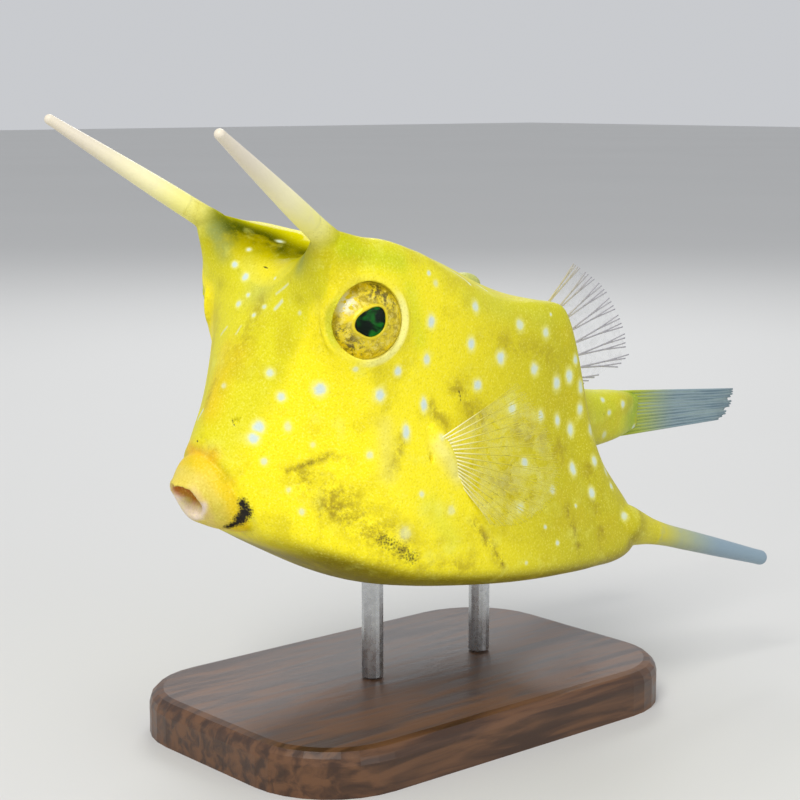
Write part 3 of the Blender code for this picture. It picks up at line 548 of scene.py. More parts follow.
def apply_modifiers(obj):
    graph = bpy.context.evaluated_depsgraph_get()
    mesh = bpy.data.meshes.new_from_object(obj.evaluated_get(graph))
    obj.modifiers.clear()
    obj.data = mesh


def cut_away(obj, parts):
    cutter = new_object("cutter", *joined(parts))
    modifier = obj.modifiers.new("cut", "BOOLEAN")
    modifier.operation = "DIFFERENCE"
    modifier.solver = "EXACT"
    modifier.object = cutter
    apply_modifiers(obj)
    bpy.data.objects.remove(cutter, do_unlink=True)


def points_of(mesh):
    points = np.empty(len(mesh.vertices) * 3)
    mesh.vertices.foreach_get("co", points)
    return points.reshape(-1, 3)


def move_points(mesh, points):
    mesh.vertices.foreach_set("co", points.ravel())
    mesh.update()


def smooth_mesh(mesh, rounds, centre=None, reach=1.0):
    """Evens out the steps of the remesh without shrinking the form, everywhere or round a centre."""
    points = points_of(mesh)
    share = np.ones((len(points), 1))
    if centre is not None:
        share = soft(reach - np.linalg.norm(points - centre, axis=1), 0.0, reach * 0.3)[:, None]
    edges = np.empty(len(mesh.edges) * 2, int)
    mesh.edges.foreach_get("vertices", edges)
    ends = edges.reshape(-1, 2)
    degree = np.bincount(edges, minlength=len(points))[:, None]
    for step in range(rounds * 2):
        total = np.zeros_like(points)
        for axis in range(3):
            total[:, axis] = np.bincount(ends[:, 0], points[ends[:, 1], axis], len(points))
            total[:, axis] += np.bincount(ends[:, 1], points[ends[:, 0], axis], len(points))
        points += share * (total / degree - points) * SMOOTH_SHARES[step % 2]
    move_points(mesh, points)


def with_mouth(rings):
    """Puts the rolled lips and the hollow of the mouth before the body's first section."""
    spread = rings[0] - np.array(MOUTH_AT)
    above = soft(spread @ UPWARD / MM, *LIP_BLEND)[:, None]
    first = []
    for share, upper, lower in LIP_ROWS:
        depth = (upper * above + lower * (1 - above)) * MM
        first.append(np.array(MOUTH_AT) + UPWARD * MOUTH_LIFT * (1 - share) + spread * share + INWARD * depth)
    return np.concatenate([np.array(first), rings])


def swell_orbits(points):
    """Raises the skin softly towards each eye's rim."""
    height, width = ORBIT_SWELL
    for side in (-1, 1):
        middle, axis = eye_line(side)
        along, across = from_axis(points, middle, axis)
        rise = height * np.exp(-(((across - EYE_RADIUS) / width) ** 2)) * (np.abs(along) < ORBIT_REACH)
        points = points + rise[..., None] * axis
    return points


def make_skin():
    """One closed skin for head, lips, torso and tail stalk, with the flares that the horns grow from."""
    rings = with_mouth(swell_orbits(swollen(body_rings(SKIN_STEP, SKIN_AROUND))))
    skin = new_object("skin", *rings_mesh(rings))
    cuts = []
    added = []
    for side in (-1, 1):
        cuts.append(ellipsoid(mirrored(NOSTRIL_AT, side), NOSTRIL_SIZE, detail=3))
        cuts.append(ellipsoid(mirrored(GILL_AT, side), GILL_SIZE))
        eye_at, eye_axis = mirrored(EYE_AT, side), mirrored(EYE_AXIS, side)
        cuts.append(turned(eye_at, eye_axis, SOCKET))
        added.append(ring_tube(eye_at, eye_axis, ORBIT_RADIUS, ORBIT_THICK))
        lobe = mirrored(PECTORAL_AT, side), PECTORAL_LOBE, mirrored(PECTORAL_LOBE_AXIS, side)
        added.append(ellipsoid(*lobe))
    for horn, _, base, way in all_horns():
        added.append(turned(base, way, fine_profile(horn.profile, 0, horn.flare / MM)))
    added.append(ellipsoid(BACK_SPINE_AT, BACK_SPINE, (0.1, 0, 1)))
    cut_away(skin, cuts)
    bm = bmesh.new()
    bm.from_mesh(skin.data)
    extra = bpy.data.meshes.new("extra")
    points, faces = joined(added)
    extra.from_pydata(points.tolist(), [], faces)
    bm.from_mesh(extra)
    bmesh.ops.recalc_face_normals(bm, faces=bm.faces)
    bm.to_mesh(skin.data)
    bm.free()
    remesh = skin.modifiers.new("remesh", "REMESH")
    remesh.mode = "VOXEL"
    remesh.voxel_size = SKIN_VOXEL * 1
    apply_modifiers(skin)
    smooth_mesh(skin.data, 2)
    smooth_mesh(skin.data, 6, np.array(MOUTH_AT), MOUTH_REACH)
    clean_sockets(skin.data)
    press_crease(skin.data)
    skin.data.shade_smooth()
    return skin


def clean_sockets(mesh):
    """Draws the walls of the eye sockets out to true circles."""
    points = points_of(mesh)
    wall = EYE_RADIUS * SOCKET_SHARE
    low, high = SOCKET_DEPTHS
    for side in (-1, 1):
        middle, axis = eye_line(side)
        along, across = from_axis(points, middle, axis)
        outward = points - middle - along[:, None] * axis
        loose = (across < wall) & (across > wall * 0.7) & (along > low) & (along < high)
        points[loose] += unit(outward[loose]) * (wall - across[loose])[:, None]
    move_points(mesh, points)


def press_crease(mesh):
    """Presses the fold that rings the snout behind the lips, and lifts the cheek skin behind it."""
    points = points_of(mesh)
    normals = np.empty(len(points) * 3)
    mesh.vertices.foreach_get("normal", normals)
    behind = (points - np.array(CREASE_AT)) @ INWARD
    near = (points[:, 0] < CREASE_END[0]) & (points[:, 2] < CREASE_END[1])
    share, place, width = CHEEK_SWELL
    fold = -CREASE_DEPTH * np.exp(-((behind / CREASE_WIDTH) ** 2))
    fold += share * CREASE_DEPTH * np.exp(-(((behind - place) / width) ** 2))
    points += normals.reshape(-1, 3) * (fold * near)[:, None]
    move_points(mesh, points)


def fine_profile(profile, start, end):
    """Rows of a smooth profile every half millimetre between two distances, in metres."""
    line = smooth_line([(a, r, 0) for a, r in profile], [12] * (len(profile) - 1))
    places = np.linspace(start, end, max(3, int((end - start) * 2)))
    return [(a * MM, float(np.interp(a, line[:, 0], line[:, 1])) * MM) for a in places]


def make_horns():
    for horn, name, base, way in all_horns():
        blunt = horn.profile[-1][1]
        reach = way.length / MM - blunt
        rows = fine_profile(horn.profile, horn.flare / MM - HORN_SUNK, reach)
        rows[0] = (rows[0][0], rows[0][1] * HORN_FOOT)
        for turn in range(15, 90, 15):
            angle = math.radians(turn)
            rows.append(((reach + blunt * math.sin(angle)) * MM, blunt * math.cos(angle) * MM))
        piece = new_object(name + "_looks", *turned(base, way, rows, sides=HORN_SIDES))
        piece.data.materials.append(horn_material(horn, base, way))
        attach(piece, "root")
        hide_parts(name)


class Nodes:
    """Short hand for building a material's node tree."""

    def __init__(self, name):
        self.material = bpy.data.materials.new(name)
        self.material.use_nodes = True
        self.tree = self.material.node_tree
        self.shader = self.tree.nodes["Principled BSDF"]
        self.colour = None

    def add(self, kind, sockets=None, **values):
        """A node with settings, and with sockets that are set to numbers or linked."""
        node = self.tree.nodes.new("ShaderNode" + kind)
        for key, value in values.items():
            setattr(node, key, value)
        for key, value in (sockets or {}).items():
            self.put(node.inputs[key], value)
        return node

    def put(self, target, value):
        if isinstance(value, bpy.types.NodeSocket):
            self.tree.links.new(value, target)
        elif isinstance(value, tuple) and target.type == "RGBA":
            target.default_value = (*value[:3], 1.0)
        else:
            target.default_value = value

    def look(self, **sockets):
        """Sets or links the shader's sockets, named with underscores for spaces."""
        for name, value in sockets.items():
            self.put(self.shader.inputs[name.replace("_", " ")], value)

    def partly_clear(self, share, surface):
        """Shows a surface by a share, and what lies behind it by the rest."""
        clear = self.add("BsdfTransparent").outputs[0]
        both = self.add("MixShader", {0: share, 1: clear, 2: surface})
        self.put(self.tree.nodes["Material Output"].inputs["Surface"], both.outputs[0])

    def coordinates(self):
        return self.add("TexCoord").outputs["Object"]

    def noise(self, scale, detail=3.0, rough=0.55, warp=0.0, along=1.0):
        stretch = self.add("Mapping", {"Vector": self.coordinates(), "Scale": Vector((along, 1.0, 1.0))})
        sockets = {"Scale": scale, "Detail": detail, "Roughness": rough, "Distortion": warp}
        return self.add("TexNoise", {"Vector": stretch.outputs[0], **sockets}).outputs["Fac"]

    def cells(self, scale):
        node = self.add("TexVoronoi", {"Vector": self.coordinates(), "Scale": scale}, feature="F1")
        return node.outputs["Distance"]

    def math(self, operation, a, b=0.0):
        return self.add("Math", {0: a, 1: b}, operation=operation).outputs[0]

    def times(self, a, b):
        return self.math("MULTIPLY", a, b)

    def ramp(self, value, low, high, low_to=0.0, high_to=1.0):
        sockets = {"Value": value, "From Min": low, "From Max": high, "To Min": low_to, "To Max": high_to}
        return self.add("MapRange", sockets, interpolation_type="SMOOTHSTEP").outputs["Result"]

    def mix(self, share, a, b):
        return self.add("Mix", {"Factor": share, 6: a, 7: b}, data_type="RGBA", blend_type="MIX").outputs[2]

    def coat(self, share, red, green, blue):
        """Lays an sRGB colour over the colour so far, by a share."""
        self.colour = self.mix(share, self.colour, srgb(red, green, blue))

    def attribute(self, name, output="Fac"):
        return self.add("Attribute", attribute_name=name).outputs[output]

    def bump(self, height, distance, strength, under=None):
        node = self.add("Bump", {"Height": height, "Distance": distance, "Strength": strength})
        if under:
            self.put(node.inputs["Normal"], under)
        return node.outputs["Normal"]


def skin_material():
    n = Nodes("skin")
    n.colour = n.attribute("tint", "Color")
    fine = n.noise(3400, 2.0)
    blotch = n.noise(170, 5.0, 0.6)
    n.coat(n.ramp(blotch, 0.48, 0.68, 0.0, 0.5), 200, 184, 0)
    n.coat(n.ramp(n.noise(260, 4.0), 0.55, 0.75, 0.0, 0.3), 238, 240, 110)
    # Pale specks of the skin's grain, dimmed where the valley's painted shade lies.
    lit = n.ramp(n.attribute("matt"), 0.0, 0.8, 1.0, 0.2)
    n.coat(n.times(lit, n.ramp(fine, 0.5, 0.75, 0.0, 0.3)), 255, 250, 130)
    n.coat(n.ramp(fine, 0.25, 0.46, 0.3, 0.0), 164, 150, 0)
    murk = n.times(n.attribute("murk"), n.ramp(n.noise(420, 7.0, 0.75, 0.2), 0.4, 0.62))
    n.coat(n.times(murk, 0.95), 130, 102, 0)
    ragged = n.times(n.math("SUBTRACT", n.noise(1100, 3.0), 0.5), 0.9)
    edge = n.math("ADD", n.attribute("spot"), ragged)
    halo = n.times(n.ramp(edge, 0.7, 2.0, 0.5, 0.0), n.attribute("spot_level"))
    n.coat(halo, 246, 248, 160)
    white = n.times(n.ramp(edge, 0.4, 1.25, 0.95, 0.0), n.attribute("spot_level"))
    n.coat(white, 206, 224, 220)
    grain = n.times(n.math("SUBTRACT", 0.45, n.cells(3300)), 0.6)
    dark = n.ramp(n.math("ADD", n.attribute("dark"), grain), 0.36, 1.05, 0.0, 1.0)
    n.coat(dark, 24, 18, 8)
    pebble = n.bump(n.cells(2600), 0.00005, 0.6)
    n.look(
        Base_Color=n.colour, Roughness=n.ramp(fine, 0.3, 0.7, 0.4, 0.58),
        Specular_IOR_Level=n.ramp(n.attribute("matt"), 0.0, 0.6, 0.35, 0.0),
        Normal=n.bump(n.noise(900, 3.0), 0.00012, 0.6, pebble),
    )
    return n.material


def horn_material(horn, base, way):
    n = Nodes(horn.name + "bone")
    root, middle, tip = (srgb(*colour) for colour in horn.colours)
    cut = n.add("VectorMath", {0: n.coordinates(), 1: base}, operation="SUBTRACT")
    along = n.add("VectorMath", {0: cut.outputs[0], 1: way.normalized()}, operation="DOT_PRODUCT")
    turns = [[horn.flare + t * MM for t in turn] for turn in horn.turns]
    first, second = (n.ramp(along.outputs["Value"], *turn) for turn in turns)
    colour = n.mix(second, n.mix(first, root, middle), tip)
    colour = n.mix(n.ramp(n.noise(420, 4.0), 0.5, 0.75, 0.0, 0.25), colour, tip)
    rough = n.ramp(n.noise(1200), 0.3, 0.7, 0.35, 0.5)
    n.look(Base_Color=colour, Roughness=rough, Normal=n.bump(n.noise(900, 3.0), 0.0001, 0.5))
    return n.material


def soft(value, low, high):
    t = np.clip((value - low) / (high - low), 0.0, 1.0)
    return t * t * (3 - 2 * t)


class SkinMap:
    """The skin's points, in mm, and where the camera's rays meet it."""

    def __init__(self, mesh, camera):
        self.points = points_of(mesh) / MM
        faces = [p.vertices[:] for p in mesh.polygons]
        self.tree = BVHTree.FromPolygons([tuple(p) for p in self.points * MM], faces)
        self.camera = camera

    def hit(self, u, v):
        """The place under a pixel, and the size of a pixel there."""
        start, way = pixel_ray(self.camera, u, v)
        found = self.tree.ray_cast(start, way)[0]
        return None if found is None else (np.array(found) / MM, (found - start).length / FOCAL_PIXELS / MM)

    def seen_sides(self, at):
        """A place and its mirror image, unless that lies on the midline or in the camera's view."""
        yield at
        eye = POSE.inverted() @ self.camera.matrix_world.translation
        way = Vector(at * (1, -1, 1) * MM) - eye
        hit = self.tree.ray_cast(eye, way.normalized())[0]
        if abs(at[1]) > TWIN_FROM and hit is not None and (hit - eye).length < way.length - 1.0 * MM:
            yield at * (1, -1, 1)

    def line(self, mark, spread, sides):
        """Numbers of the points near a line between two pixels and near its twin, and how far they lie."""
        u0, v0, u1, v1, radius = mark[:5]
        found, other = self.hit(u0, v0), self.hit(u1, v1)
        if not (found and other):
            return
        size = radius * found[1]
        for start, end in zip(sides(found[0]), sides(other[0])):
            line = end - start
            reach = np.linalg.norm(line) / 2 + size * spread
            near = np.flatnonzero(np.linalg.norm(self.points - (start + end) / 2, axis=1) < reach)
            away = self.points[near] - start
            share = np.clip(away @ line / max(line @ line, 1e-9), 0, 1)
            yield near, np.linalg.norm(away - share[:, None] * line, axis=1) / size

    def spots(self):
        """Distance to the nearest pale mark over its radius, and how strong that mark is."""
        ratio = np.full(len(self.points), SPOT_SPREAD - 1.0)
        level = np.zeros(len(self.points))
        for u, v, radius, strength, *tall in SPOTS:
            found = self.hit(u, v)
            if found:
                size = radius * found[1]
                shape = (1, 1, *(tall or [1.0]))
                for place in self.seen_sides(found[0]):
                    near = np.flatnonzero(np.abs(self.points - place).max(axis=1) < size * SPOT_SPREAD)
                    away = np.linalg.norm((self.points[near] - place) / shape, axis=1) / size
                    keep_nearest(ratio, level, near, away, strength)
        for streak in STREAKS:
            for near, away in self.line(streak, SPOT_SPREAD, self.seen_sides):
                keep_nearest(ratio, level, near, away, streak[5])
        return ratio, level

    def cover(self, marks):
        """How strongly the marks, each a soft line between two pixels, cover each place."""
        cover = np.zeros(len(self.points))
        for mark in marks:
            for near, away in self.line(mark, MARK_SPREAD, self.seen_sides):
                cover[near] = np.maximum(cover[near], mark[5] * np.exp(-(away**2) * MARK_FADE))
        return cover


def keep_nearest(ratio, level, near, value, strength):
    better = value < ratio[near]
    ratio[near[better]] = value[better]
    level[near[better]] = strength


def twins(at):
    return at, at * (1, -1, 1)


def coat(colours, mask, red, green, blue, index=slice(None)):
    """Blends an sRGB colour over the stored linear ones, by a mask of 0 to 1."""
    mask = np.clip(mask, 0.0, 1.0)[:, None]
    colours[index] = colours[index] * (1 - mask) + np.array(srgb(red, green, blue)) * mask


def coat_eye_ring(colours, points, side):
    """Pale ring of skin round the eye, stronger low at the rear, and a green crescent before it, in mm."""
    place = np.array(eye_place(side).inverted())
    over, up, out = (points * MM @ place[:3, :3].T + place[:3, 3]).T / MM
    across = np.hypot(over, up)
    level = np.abs(out) < 3
    ring = soft(across, 4.9, 5.2) * soft(6.4 - across, 0.0, 0.5) * level
    low_rear = soft(over * 0.85 - up * 0.5, 0.8, 3.8)
    coat(colours, ring * (0.06 + 0.5 * low_rear), 240, 240, 176)
    front = soft(-over - np.abs(up) * 0.4, 2.0, 4.5)
    coat(colours, soft(6.1 - across, 0.0, 0.4) * front * level * 0.4, 140, 176, 10)


def coat_snout(colours, points):
    """Tints before and behind the fold, then the lips from their edge in to the throat."""
    x, wide = points[:, 0], np.abs(points[:, 1])
    ahead = (np.array(CREASE_AT) / MM - points) @ INWARD
    snout = soft(14.0 - x, 0.0, 6.0)
    # Amber from the fold on, then paler round the lips, and pink at their corners.
    coat(colours, soft(ahead, -0.4, 0.4) * snout * 0.8, 238, 200, 4)
    coat(colours, soft(ahead, 1.2, 2.8) * snout * 0.9, 228, 206, 84)
    away = points - np.array(MOUTH_AT) / MM
    inside = away @ INWARD
    upward = away @ UPWARD
    coat(colours, soft(1.6 - inside, 0, 1.4) * soft(wide, 1.5, 3.5) * snout * 0.6, 228, 192, 160)
    # Pale edge of the lower lip.
    reach = np.hypot(wide / LIP_SIZE[0], (upward - 0.1) / LIP_SIZE[1])
    near_mouth = soft(6.0 - x, 0.0, 1.0)
    rim = soft(1.4 - reach, 0.0, 0.25) * soft(3.2 - wide, 0.0, 1.2)
    rim = np.maximum(soft(1.2 - reach, 0.0, 0.16), rim)
    rim *= soft(0.6 - upward, 0.0, 1.0) * soft(2.0 - inside, 0.0, 1.0) * near_mouth
    coat(colours, rim * 0.9, 238, 218, 206)
    # Inside of the lips, and the orange throat.
    hollow = soft(0.9 - 0.2 * soft(-upward, 0.0, 1.4) - reach, 0.0, 0.12)
    hollow *= soft(inside, -0.6, 0.3) * near_mouth
    coat(colours, hollow, 240, 206, 182)
    coat(colours, hollow * soft(inside + upward * 0.6, 0.3, 1.5), 200, 116, 30)


def coat_horn_roots(colours, points):
    for horn, _, base, way in all_horns():
        along, across = from_axis(points, np.array(base) / MM, unit(np.array(way)))
        coat(colours, soft(along, *horn.tinted) * soft(4.4 - across, 0, 1.6), *horn.colours[0])


def paint_skin(skin, camera):
    """Stores the skin's colour with its painted shade, its pale spots and its dark marks on the mesh."""
    chart = SkinMap(skin.data, camera)
    points = chart.points
    x, _, z = points.T
    ridge_z = np.interp(x, STATIONS[:, 2], STATIONS[:, 4])
    keel_z = np.interp(x, STATIONS[:, 5], STATIONS[:, 7])
    colours = np.tile(srgb(*SKIN_YELLOW), (len(points), 1))
    # Olive towards the tail and on the back above the ridge; below the keel a dark olive band, partly the
    # belly's colour and partly painted shade under the keel.
    coat(colours, soft(x, 26, 60) * 0.92, 188, 180, 0)
    coat(colours, soft(z - ridge_z, -5, 1) * 0.6, 206, 204, 4)
    coat(colours, soft(keel_z + 1.5 - z, 0, 2.5) * soft(x, 8, 16), 146, 132, 2)
    for tint in TINTS_AND_SHADE:
        for near, away in chart.line(tint, TINT_SPREAD, twins):
            coat(colours, tint[5] * np.exp(-(away**2)), *tint[6], index=near)
    for side in (-1, 1):
        coat_eye_ring(colours, points, side)
    knob = np.linalg.norm(points - np.array(BACK_SPINE_AT) / MM, axis=1)
    coat(colours, soft(3.4 - knob, 0.0, 1.4) * 0.7, 170, 182, 120)
    coat_snout(colours, points)
    # Green of the tail stalk, stronger at the root of its fin.
    coat(colours, soft(x, 72, 78) * 0.75, 206, 210, 30)
    coat(colours, soft(x, 83, 90) * 0.9, 150, 178, 40)
    coat_horn_roots(colours, points)
    attribute = skin.data.attributes.new("tint", "FLOAT_COLOR", "POINT")
    attribute.data.foreach_set("color", np.hstack([colours, np.ones((len(points), 1))]).ravel())
    fields = dict(zip(("spot", "spot_level"), chart.spots()))
    fields.update(dark=chart.cover(DARK_MARKS), murk=chart.cover(MURK), matt=chart.cover(MATT))
    for name, values in fields.items():
        skin.data.attributes.new(name, "FLOAT", "POINT").data.foreach_set("value", values)


def dome(radius, curve):
    """Height of a spherical cap over its rim plane."""
    drop = math.sqrt(curve**2 - EYE_RADIUS**2)
    return np.sqrt(np.maximum(curve**2 - radius**2, 0)) - drop


def pupil_outline(angle):
    """Distance from the pupil's middle to its edge, by the angle from rearward towards up."""
    reach = 0.0
    for turn in PUPIL_TURNS:
        degrees = (math.degrees(angle) + turn + 180) % 360 - 180
        reach += np.interp(degrees, *zip(*PUPIL_RADII)) / len(PUPIL_TURNS)
    return float(reach + PUPIL_SHIFT[0] * math.cos(angle) + PUPIL_SHIFT[1] * math.sin(angle)) * MM


def eye_place(side):
    """Matrix from the eye's own frame, with z out of the head and x rearward, to the fish frame."""
    out = mirrored(EYE_AXIS, side).normalized()
    rear = (Vector((1, 0, 0)) - out * out.x).normalized()
    up = out.cross(rear) * (1 if out.cross(rear).z > 0 else -1)
    turn = Matrix((rear, up, out)).transposed().to_4x4()
    return Matrix.Translation(mirrored(EYE_AT, side)) @ turn


def eye_surface(name, rows, side, material):
    """A surface over rows of (share of the way from pupil edge to rim, depth below the dome)."""
    angles = [2 * math.pi * i / EYE_SIDES for i in range(EYE_SIDES)]
    edges = [pupil_outline(angle) for angle in angles]
    rings = []
    for share, depth in rows:
        radii = [e + (EYE_RADIUS - e) * share if share >= 0 else e * (1 + share) for e in edges]
        heights = [float(dome(radius, EYE_CURVE)) - depth for radius in radii]
        rings.append([(r * math.cos(a), r * math.sin(a), h) for r, a, h in zip(radii, angles, heights)])
    piece = new_object(name, *rings_mesh(rings, capped=False))
    piece.matrix_world = POSE @ eye_place(side)
    piece.data.materials.append(material)
    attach(piece, "root")
    return piece


def make_eyes():
    iris_rows = [
        (-0.06, IRIS_DEPTH + 0.5 * MM), (-0.03, IRIS_DEPTH + 0.1 * MM), (0.0, IRIS_DEPTH - 0.08 * MM),
        (0.05, IRIS_DEPTH - 0.16 * MM), (0.1, IRIS_DEPTH - 0.12 * MM), (0.14, IRIS_DEPTH),
    ]
    iris_rows += [(s, IRIS_DEPTH * (1 - s * 0.5)) for s in np.linspace(0.2, 1.0, 18)]
    iris_rows.append((1.0, IRIS_DEPTH * 0.5 + 2.2 * MM))
    pupil_rows = [(0.06, IRIS_DEPTH + 0.4 * MM)]
    pupil_rows += [(-s, IRIS_DEPTH + 0.05 * MM) for s in np.linspace(0.0, 0.98, 12)]
    clear_rows = [(s, 0.0) for s in (*np.linspace(1.0, 0.0, 12), *np.linspace(-0.1, -0.98, 10))]
    for side, end in SIDES:
        iris = eye_surface("eye_" + end + "_iris", iris_rows, side, iris_material())
        shares = np.repeat([row[0] for row in iris_rows], EYE_SIDES)
        iris.data.attributes.new("share", "FLOAT", "POINT").data.foreach_set("value", shares)
        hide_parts("eye_" + end)
        eye_surface("eye_" + end + "_pupil", pupil_rows, side, pupil_material())
        eye_surface("eye_" + end + "_cornea", clear_rows, side, cornea_material())


def eye_glow(n, at, size):
    """How near a place of the eye is to a point given in mm rearward and up from its middle."""
    spot = Vector((at[0] * MM, at[1] * MM, 1.2 * MM))
    away = n.add("VectorMath", {0: n.coordinates(), 1: spot}, operation="DISTANCE")
    return n.ramp(away.outputs["Value"], size * 0.3 * MM, size * MM, 1.0, 0.0)


def iris_material():
    n = Nodes("iris")
    share = n.attribute("share")
    clouds = n.ramp(n.noise(620, 5.0, 0.65, 0.3), 0.44, 0.68)
    n.colour = n.mix(clouds, srgb(250, 226, 30), srgb(186, 162, 16))
    glint = n.ramp(n.noise(1500, 4.0, 0.7), 0.52, 0.6)
    n.coat(n.times(glint, 0.6), 255, 240, 120)
    flecks = n.ramp(n.noise(900, 5.0, 0.7, 0.2), 0.44, 0.58)
    for *at, size in IRIS_CLOUDS:
        n.coat(n.times(eye_glow(n, at, size), flecks), 112, 98, 36)
    # Painted highlight: a white patch, broken by noise, at the upper front of the iris.
    white = n.times(eye_glow(n, IRIS_PAINTED_HIGHLIGHT[:2], IRIS_PAINTED_HIGHLIGHT[2]), n.ramp(n.noise(1100, 3.0), 0.4, 0.5))
    n.coat(white, 255, 252, 220)
    n.coat(n.ramp(share, 0.09, 0.15, 1.0, 0.0), 244, 222, 30)
    n.coat(n.ramp(share, 0.8, 0.95, 0.0, 0.8), 226, 218, 80)
    grain = n.bump(n.noise(1800, 3.0), 0.00012, 0.7)
    n.look(Base_Color=n.colour, Metallic=0.15, Roughness=0.32, Normal=grain)
    return n.material


def pupil_material():
    n = Nodes("pupil")
    cloud = n.ramp(n.noise(560, 3.0, 0.5, 0.5), 0.44, 0.62)
    colour = n.mix(cloud, srgb(3, 20, 9), srgb(12, 112, 24))
    n.look(Base_Color=colour, Roughness=0.4, Specular_IOR_Level=0.1)
    return n.material


def cornea_material():
    n = Nodes("cornea")
    gloss = n.add("BsdfGlossy", {"Roughness": 0.05})
    fresnel = n.add("Fresnel", {"IOR": 1.22})
    n.partly_clear(n.times(fresnel.outputs[0], 0.5), gloss.outputs[0])
    return n.material


def ray_table(count, angles, lengths):
    """Share of the way over the fin, direction and length of each ray."""
    for share in np.arange(count) / (count - 1):
        angle = angles[0] + (angles[1] - angles[0]) * share
        length = np.interp(angle, *zip(*sorted(lengths)))
        yield float(share), math.radians(angle), float(length) * MM


def landing(tree, root, tip):
    """Root of a ray moved to where the ray leaves the skin, a little below its surface."""
    way = (tip - root).normalized()
    hit = tree.ray_cast(root + way * (tip - root).length, -way)[0]
    return root if hit is None else hit - way * RAY_SUNK


def tube(path, radii, flat, sides=8):
    """A ray segment along a path: an elliptical tube, flattened across the fin."""
    rings = []
    for i, point in enumerate(path):
        way = (path[min(i + 1, len(path) - 1)] - path[max(i - 1, 0)]).normalized()
        side = way.cross(flat).normalized()
        thick = side.cross(way)
        rings.append([
            np.array(point + side * radii[i] * math.cos(a) + thick * radii[i] * 0.7 * math.sin(a))
            for a in np.arange(sides) * 2 * math.pi / sides
        ])
    return rings_mesh(rings)


def branching(root, tip, aside, forks, radius, tip_radius):
    """Paths and radii of a ray that splits in two at each share of its length named in forks."""
    twigs = [(root, tip, 0.0)]
    paths = []
    reach = aside * 0.5
    steps = [k / TWIG_STEPS for k in range(TWIG_STEPS + 1)]
    for start, end in zip((0.0, *forks), (*forks, 1.0)):
        reach = reach * FORK_SHRINK
        grown = []
        for foot, goal, begun in twigs:
            turn = foot.lerp(goal, (end - begun) / (1 - begun)) if end < 1 else goal
            sizes = [radius + (tip_radius - radius) * (start + (end - start) * k) for k in steps]
            paths.append(([foot.lerp(turn, k) for k in steps], sizes))
            grown += [(turn, goal + reach * way, end) for way in (-1, 1)]
        twigs = grown
    return paths


def web_between(lines, flat, half, fill, rows=16, between=4):
    """Points and faces of the thin skin between neighbouring rays, as one closed sheet."""
    columns = []
    for line, after in zip(lines, lines[1:]):
        for share in (k / between for k in range(between)):
            foot, end = (a.lerp(b, share) for a, b in zip(line, after))
            columns.append((foot, foot.lerp(end, fill - 0.02 * math.sin(math.pi * share))))
    columns.append(lines[-1])
    points = []
    for foot, end in columns:
        for face in (1, -1):
            points += [np.array(foot.lerp(end, row / rows) + flat * half * face) for row in range(rows + 1)]
    ids = np.arange(len(points)).reshape(len(columns), 2, rows + 1)
    faces = [*quads(ids[:, 0]), *quads(ids[:, 1], flip=True)]
    for edge, flip in ((0, True), (-1, False)):
        faces += [*quads(ids[:, :, edge], flip), *quads(ids[edge], flip)]
    return np.array(points), faces


def rayed_fin(node, rays, tree, flat, sizes, forks, materials):
    """Branching rays and the clear skin between them, as one piece that stands for its CAD node."""
    radius, tip_radius, half, fill = sizes
    parts = []
    lines = []
    last = len(rays) - 1
    for i, (root, tip) in enumerate(rays):
        root = landing(tree, root, tip) if tree else root
        aside = (rays[min(i + 1, last)][1] - rays[max(i - 1, 0)][1]) * (0.5 if 0 < i < last else 0.7)
        twigs = branching(root, tip, aside, forks, radius, tip_radius)
        parts += [tube(path, widths, flat) for path, widths in twigs]
        lines.append((root, tip))
    ray_faces = sum(len(faces) for _, faces in parts)
    fin = new_object(node + "_looks", *joined([*parts, web_between(lines, flat, half, fill)]))
    for material in materials:
        fin.data.materials.append(material)
    for polygon in fin.data.polygons:
        polygon.material_index = int(polygon.index >= ray_faces)
    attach(fin, "root")
    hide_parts(node)


def fin_material(name, root, tip, start, end, clearness=0.0, streak=0.0):
    """Look that turns from root to tip colour between two distances along the fish, in mm."""
    n = Nodes(name)
    split = n.add("SeparateXYZ", {0: n.coordinates()})
    colour = n.mix(n.ramp(split.outputs["X"], start * MM, end * MM), srgb(*root), srgb(*tip))
    if streak:
        lines = n.ramp(n.noise(900, 3.0, 0.6, 0.0, 0.05), 0.42, 0.62, 0.0, streak)
        colour = n.mix(lines, colour, srgb(176, 196, 190))
    n.look(Base_Color=colour, Roughness=0.25 if clearness else 0.4)
    if clearness:
        thin, thick = 0.92 - clearness, 1.08 - clearness
        n.partly_clear(n.ramp(n.noise(350, 4.0, 0.6, 1.0), 0.3, 0.7, thin, thick), n.shader.outputs[0])
    return n.material


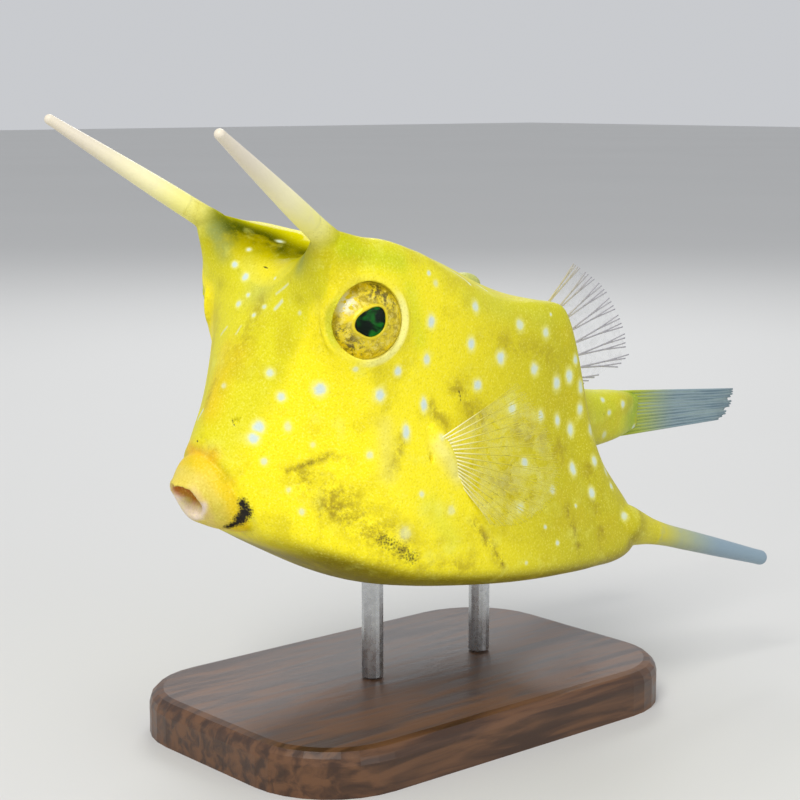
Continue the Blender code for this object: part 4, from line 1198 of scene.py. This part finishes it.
def make_fins(skin):
    faces = [p.vertices[:] for p in skin.data.polygons]
    tree = BVHTree.FromPolygons([v.co[:] for v in skin.data.vertices], faces)
    for side, end in SIDES:
        rays = []
        first, last = (Vector(root) for root in PECTORAL_ROOTS)
        for share, angle, length in ray_table(PECTORAL_RAYS, PECTORAL_ANGLES, PECTORAL_LENGTHS):
            root = first.lerp(last, share) * MM
            away = Vector((math.cos(angle), PECTORAL_SPREAD - FLANK_SLOPE * math.sin(angle), math.sin(angle)))
            rays.append((mirrored(root, side), mirrored(root + away * length, side)))
        looks = [
            fin_material("pectoral_rays", (250, 246, 190), (204, 194, 60), 31, 38),
            fin_material("pectoral_web", (244, 240, 170), (226, 230, 160), 32, 38, 0.94),
        ]
        flat = Vector((0, side, 0))
        rayed_fin("pectoral_fin_" + end, rays, tree, flat, PECTORAL_SIZES, PECTORAL_FORKS, looks)
    flat = Vector((0, 1, 0))
    for name, roots, angles, lengths, count in (
        ("dorsal_fin", DORSAL_ROOTS, DORSAL_ANGLES, DORSAL_LENGTHS, DORSAL_RAYS),
        ("anal_fin", ANAL_ROOTS, ANAL_ANGLES, ANAL_LENGTHS, ANAL_RAYS),
    ):
        first, last = (Vector((x, 0, z)) for x, z in roots)
        rays = []
        for share, angle, length in ray_table(count, angles, lengths):
            root = first.lerp(last, share) * MM
            rays.append((root, root + Vector((math.cos(angle), 0, math.sin(angle))) * length))
        looks = [
            fin_material(name + "_rays", (206, 194, 130), (168, 166, 172), 66, 78),
            fin_material(name + "_web", (200, 196, 160), (196, 198, 204), 66, 76, 0.94),
        ]
        rayed_fin(name, rays, tree, flat, MEDIAN_SIZES, MEDIAN_FORKS, looks)
    rays = []
    for share in np.arange(CAUDAL_RAYS) / (CAUDAL_RAYS - 1):
        low, high = (a + (b - a) * share for a, b in (CAUDAL_ROOT, CAUDAL_TIP))
        short = np.interp(share, *zip(*CAUDAL_ENDS))
        end = Vector((CAUDAL_FROM + CAUDAL_LENGTH - short, 0, high)) * MM
        rays.append((Vector((CAUDAL_FROM - 1.0, 0, low)) * MM, end))
    looks = [
        fin_material("caudal_rays", (170, 182, 30), (134, 156, 164), 89, 101),
        fin_material("caudal_web", (150, 170, 10), (104, 130, 144), 89, 101, 0.16, 0.55),
    ]
    rayed_fin("caudal_fin", rays, None, flat, CAUDAL_SIZES, (), looks)


def dress_stand():
    wood = Nodes("stand_wood")
    grain = wood.noise(540, 6.0, 0.5, 0.6, 1 / 9)
    wood.look(
        Base_Color=wood.mix(wood.ramp(grain, 0.35, 0.65), srgb(62, 40, 26), srgb(104, 70, 44)),
        Roughness=wood.ramp(grain, 0.3, 0.7, 0.3, 0.45), Normal=wood.bump(grain, 0.0002, 0.3),
    )
    steel = Nodes("stand_steel")
    shade = steel.mix(steel.noise(900), srgb(176, 178, 180), srgb(206, 208, 210))
    steel.look(Metallic=1.0, Base_Color=shade, Roughness=steel.ramp(steel.noise(1500), 0.3, 0.7, 0.22, 0.34))
    for name, nodes in (("stand_base", wood), ("stand_rod_front", steel), ("stand_rod_rear", steel)):
        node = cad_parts[name]
        node.data.materials.clear()
        node.data.materials.append(nodes.material)


def area_light(name, at, size, power, colour):
    data = bpy.data.lights.new(name, "AREA")
    data.shape = "DISK"
    data.size = size
    data.energy = power
    data.color = colour
    lamp = placed(name, data)
    lamp.location = at
    aim(lamp, Vector(LIT_AT) - Vector(at))


def make_studio():
    floor = placed("floor", bpy.data.meshes.new("floor"))
    corners = [(x * FLOOR_HALF, y * FLOOR_HALF, 0) for x, y in ((-1, -1), (1, -1), (1, 1), (-1, 1))]
    floor.data.from_pydata(corners, [], [(0, 1, 2, 3)])
    pale = Nodes("floor")
    pale.look(Base_Color=pale.mix(pale.noise(3, 2.0), (0.62, 0.62, 0.61), (0.66, 0.66, 0.65)), Roughness=0.8)
    floor.data.materials.append(pale.material)
    world = bpy.data.worlds.new("studio")
    world.use_nodes = True
    sky = world.node_tree.nodes["Background"].inputs
    sky["Color"].default_value = SKY_COLOUR
    sky["Strength"].default_value = SKY_STRENGTH
    bpy.context.scene.world = world
    for lamp in LAMPS:
        area_light(*lamp)
    bpy.context.scene.view_settings.view_transform = "Standard"


def main():
    camera = make_camera()
    skin = make_skin()
    paint_skin(skin, camera)
    skin.data.materials.clear()
    skin.data.materials.append(skin_material())
    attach(skin, "root")
    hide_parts("head", "torso", "tail_stalk", "upper_lip", "lower_lip")
    make_horns()
    make_eyes()
    make_fins(skin)
    dress_stand()
    make_studio()


main()
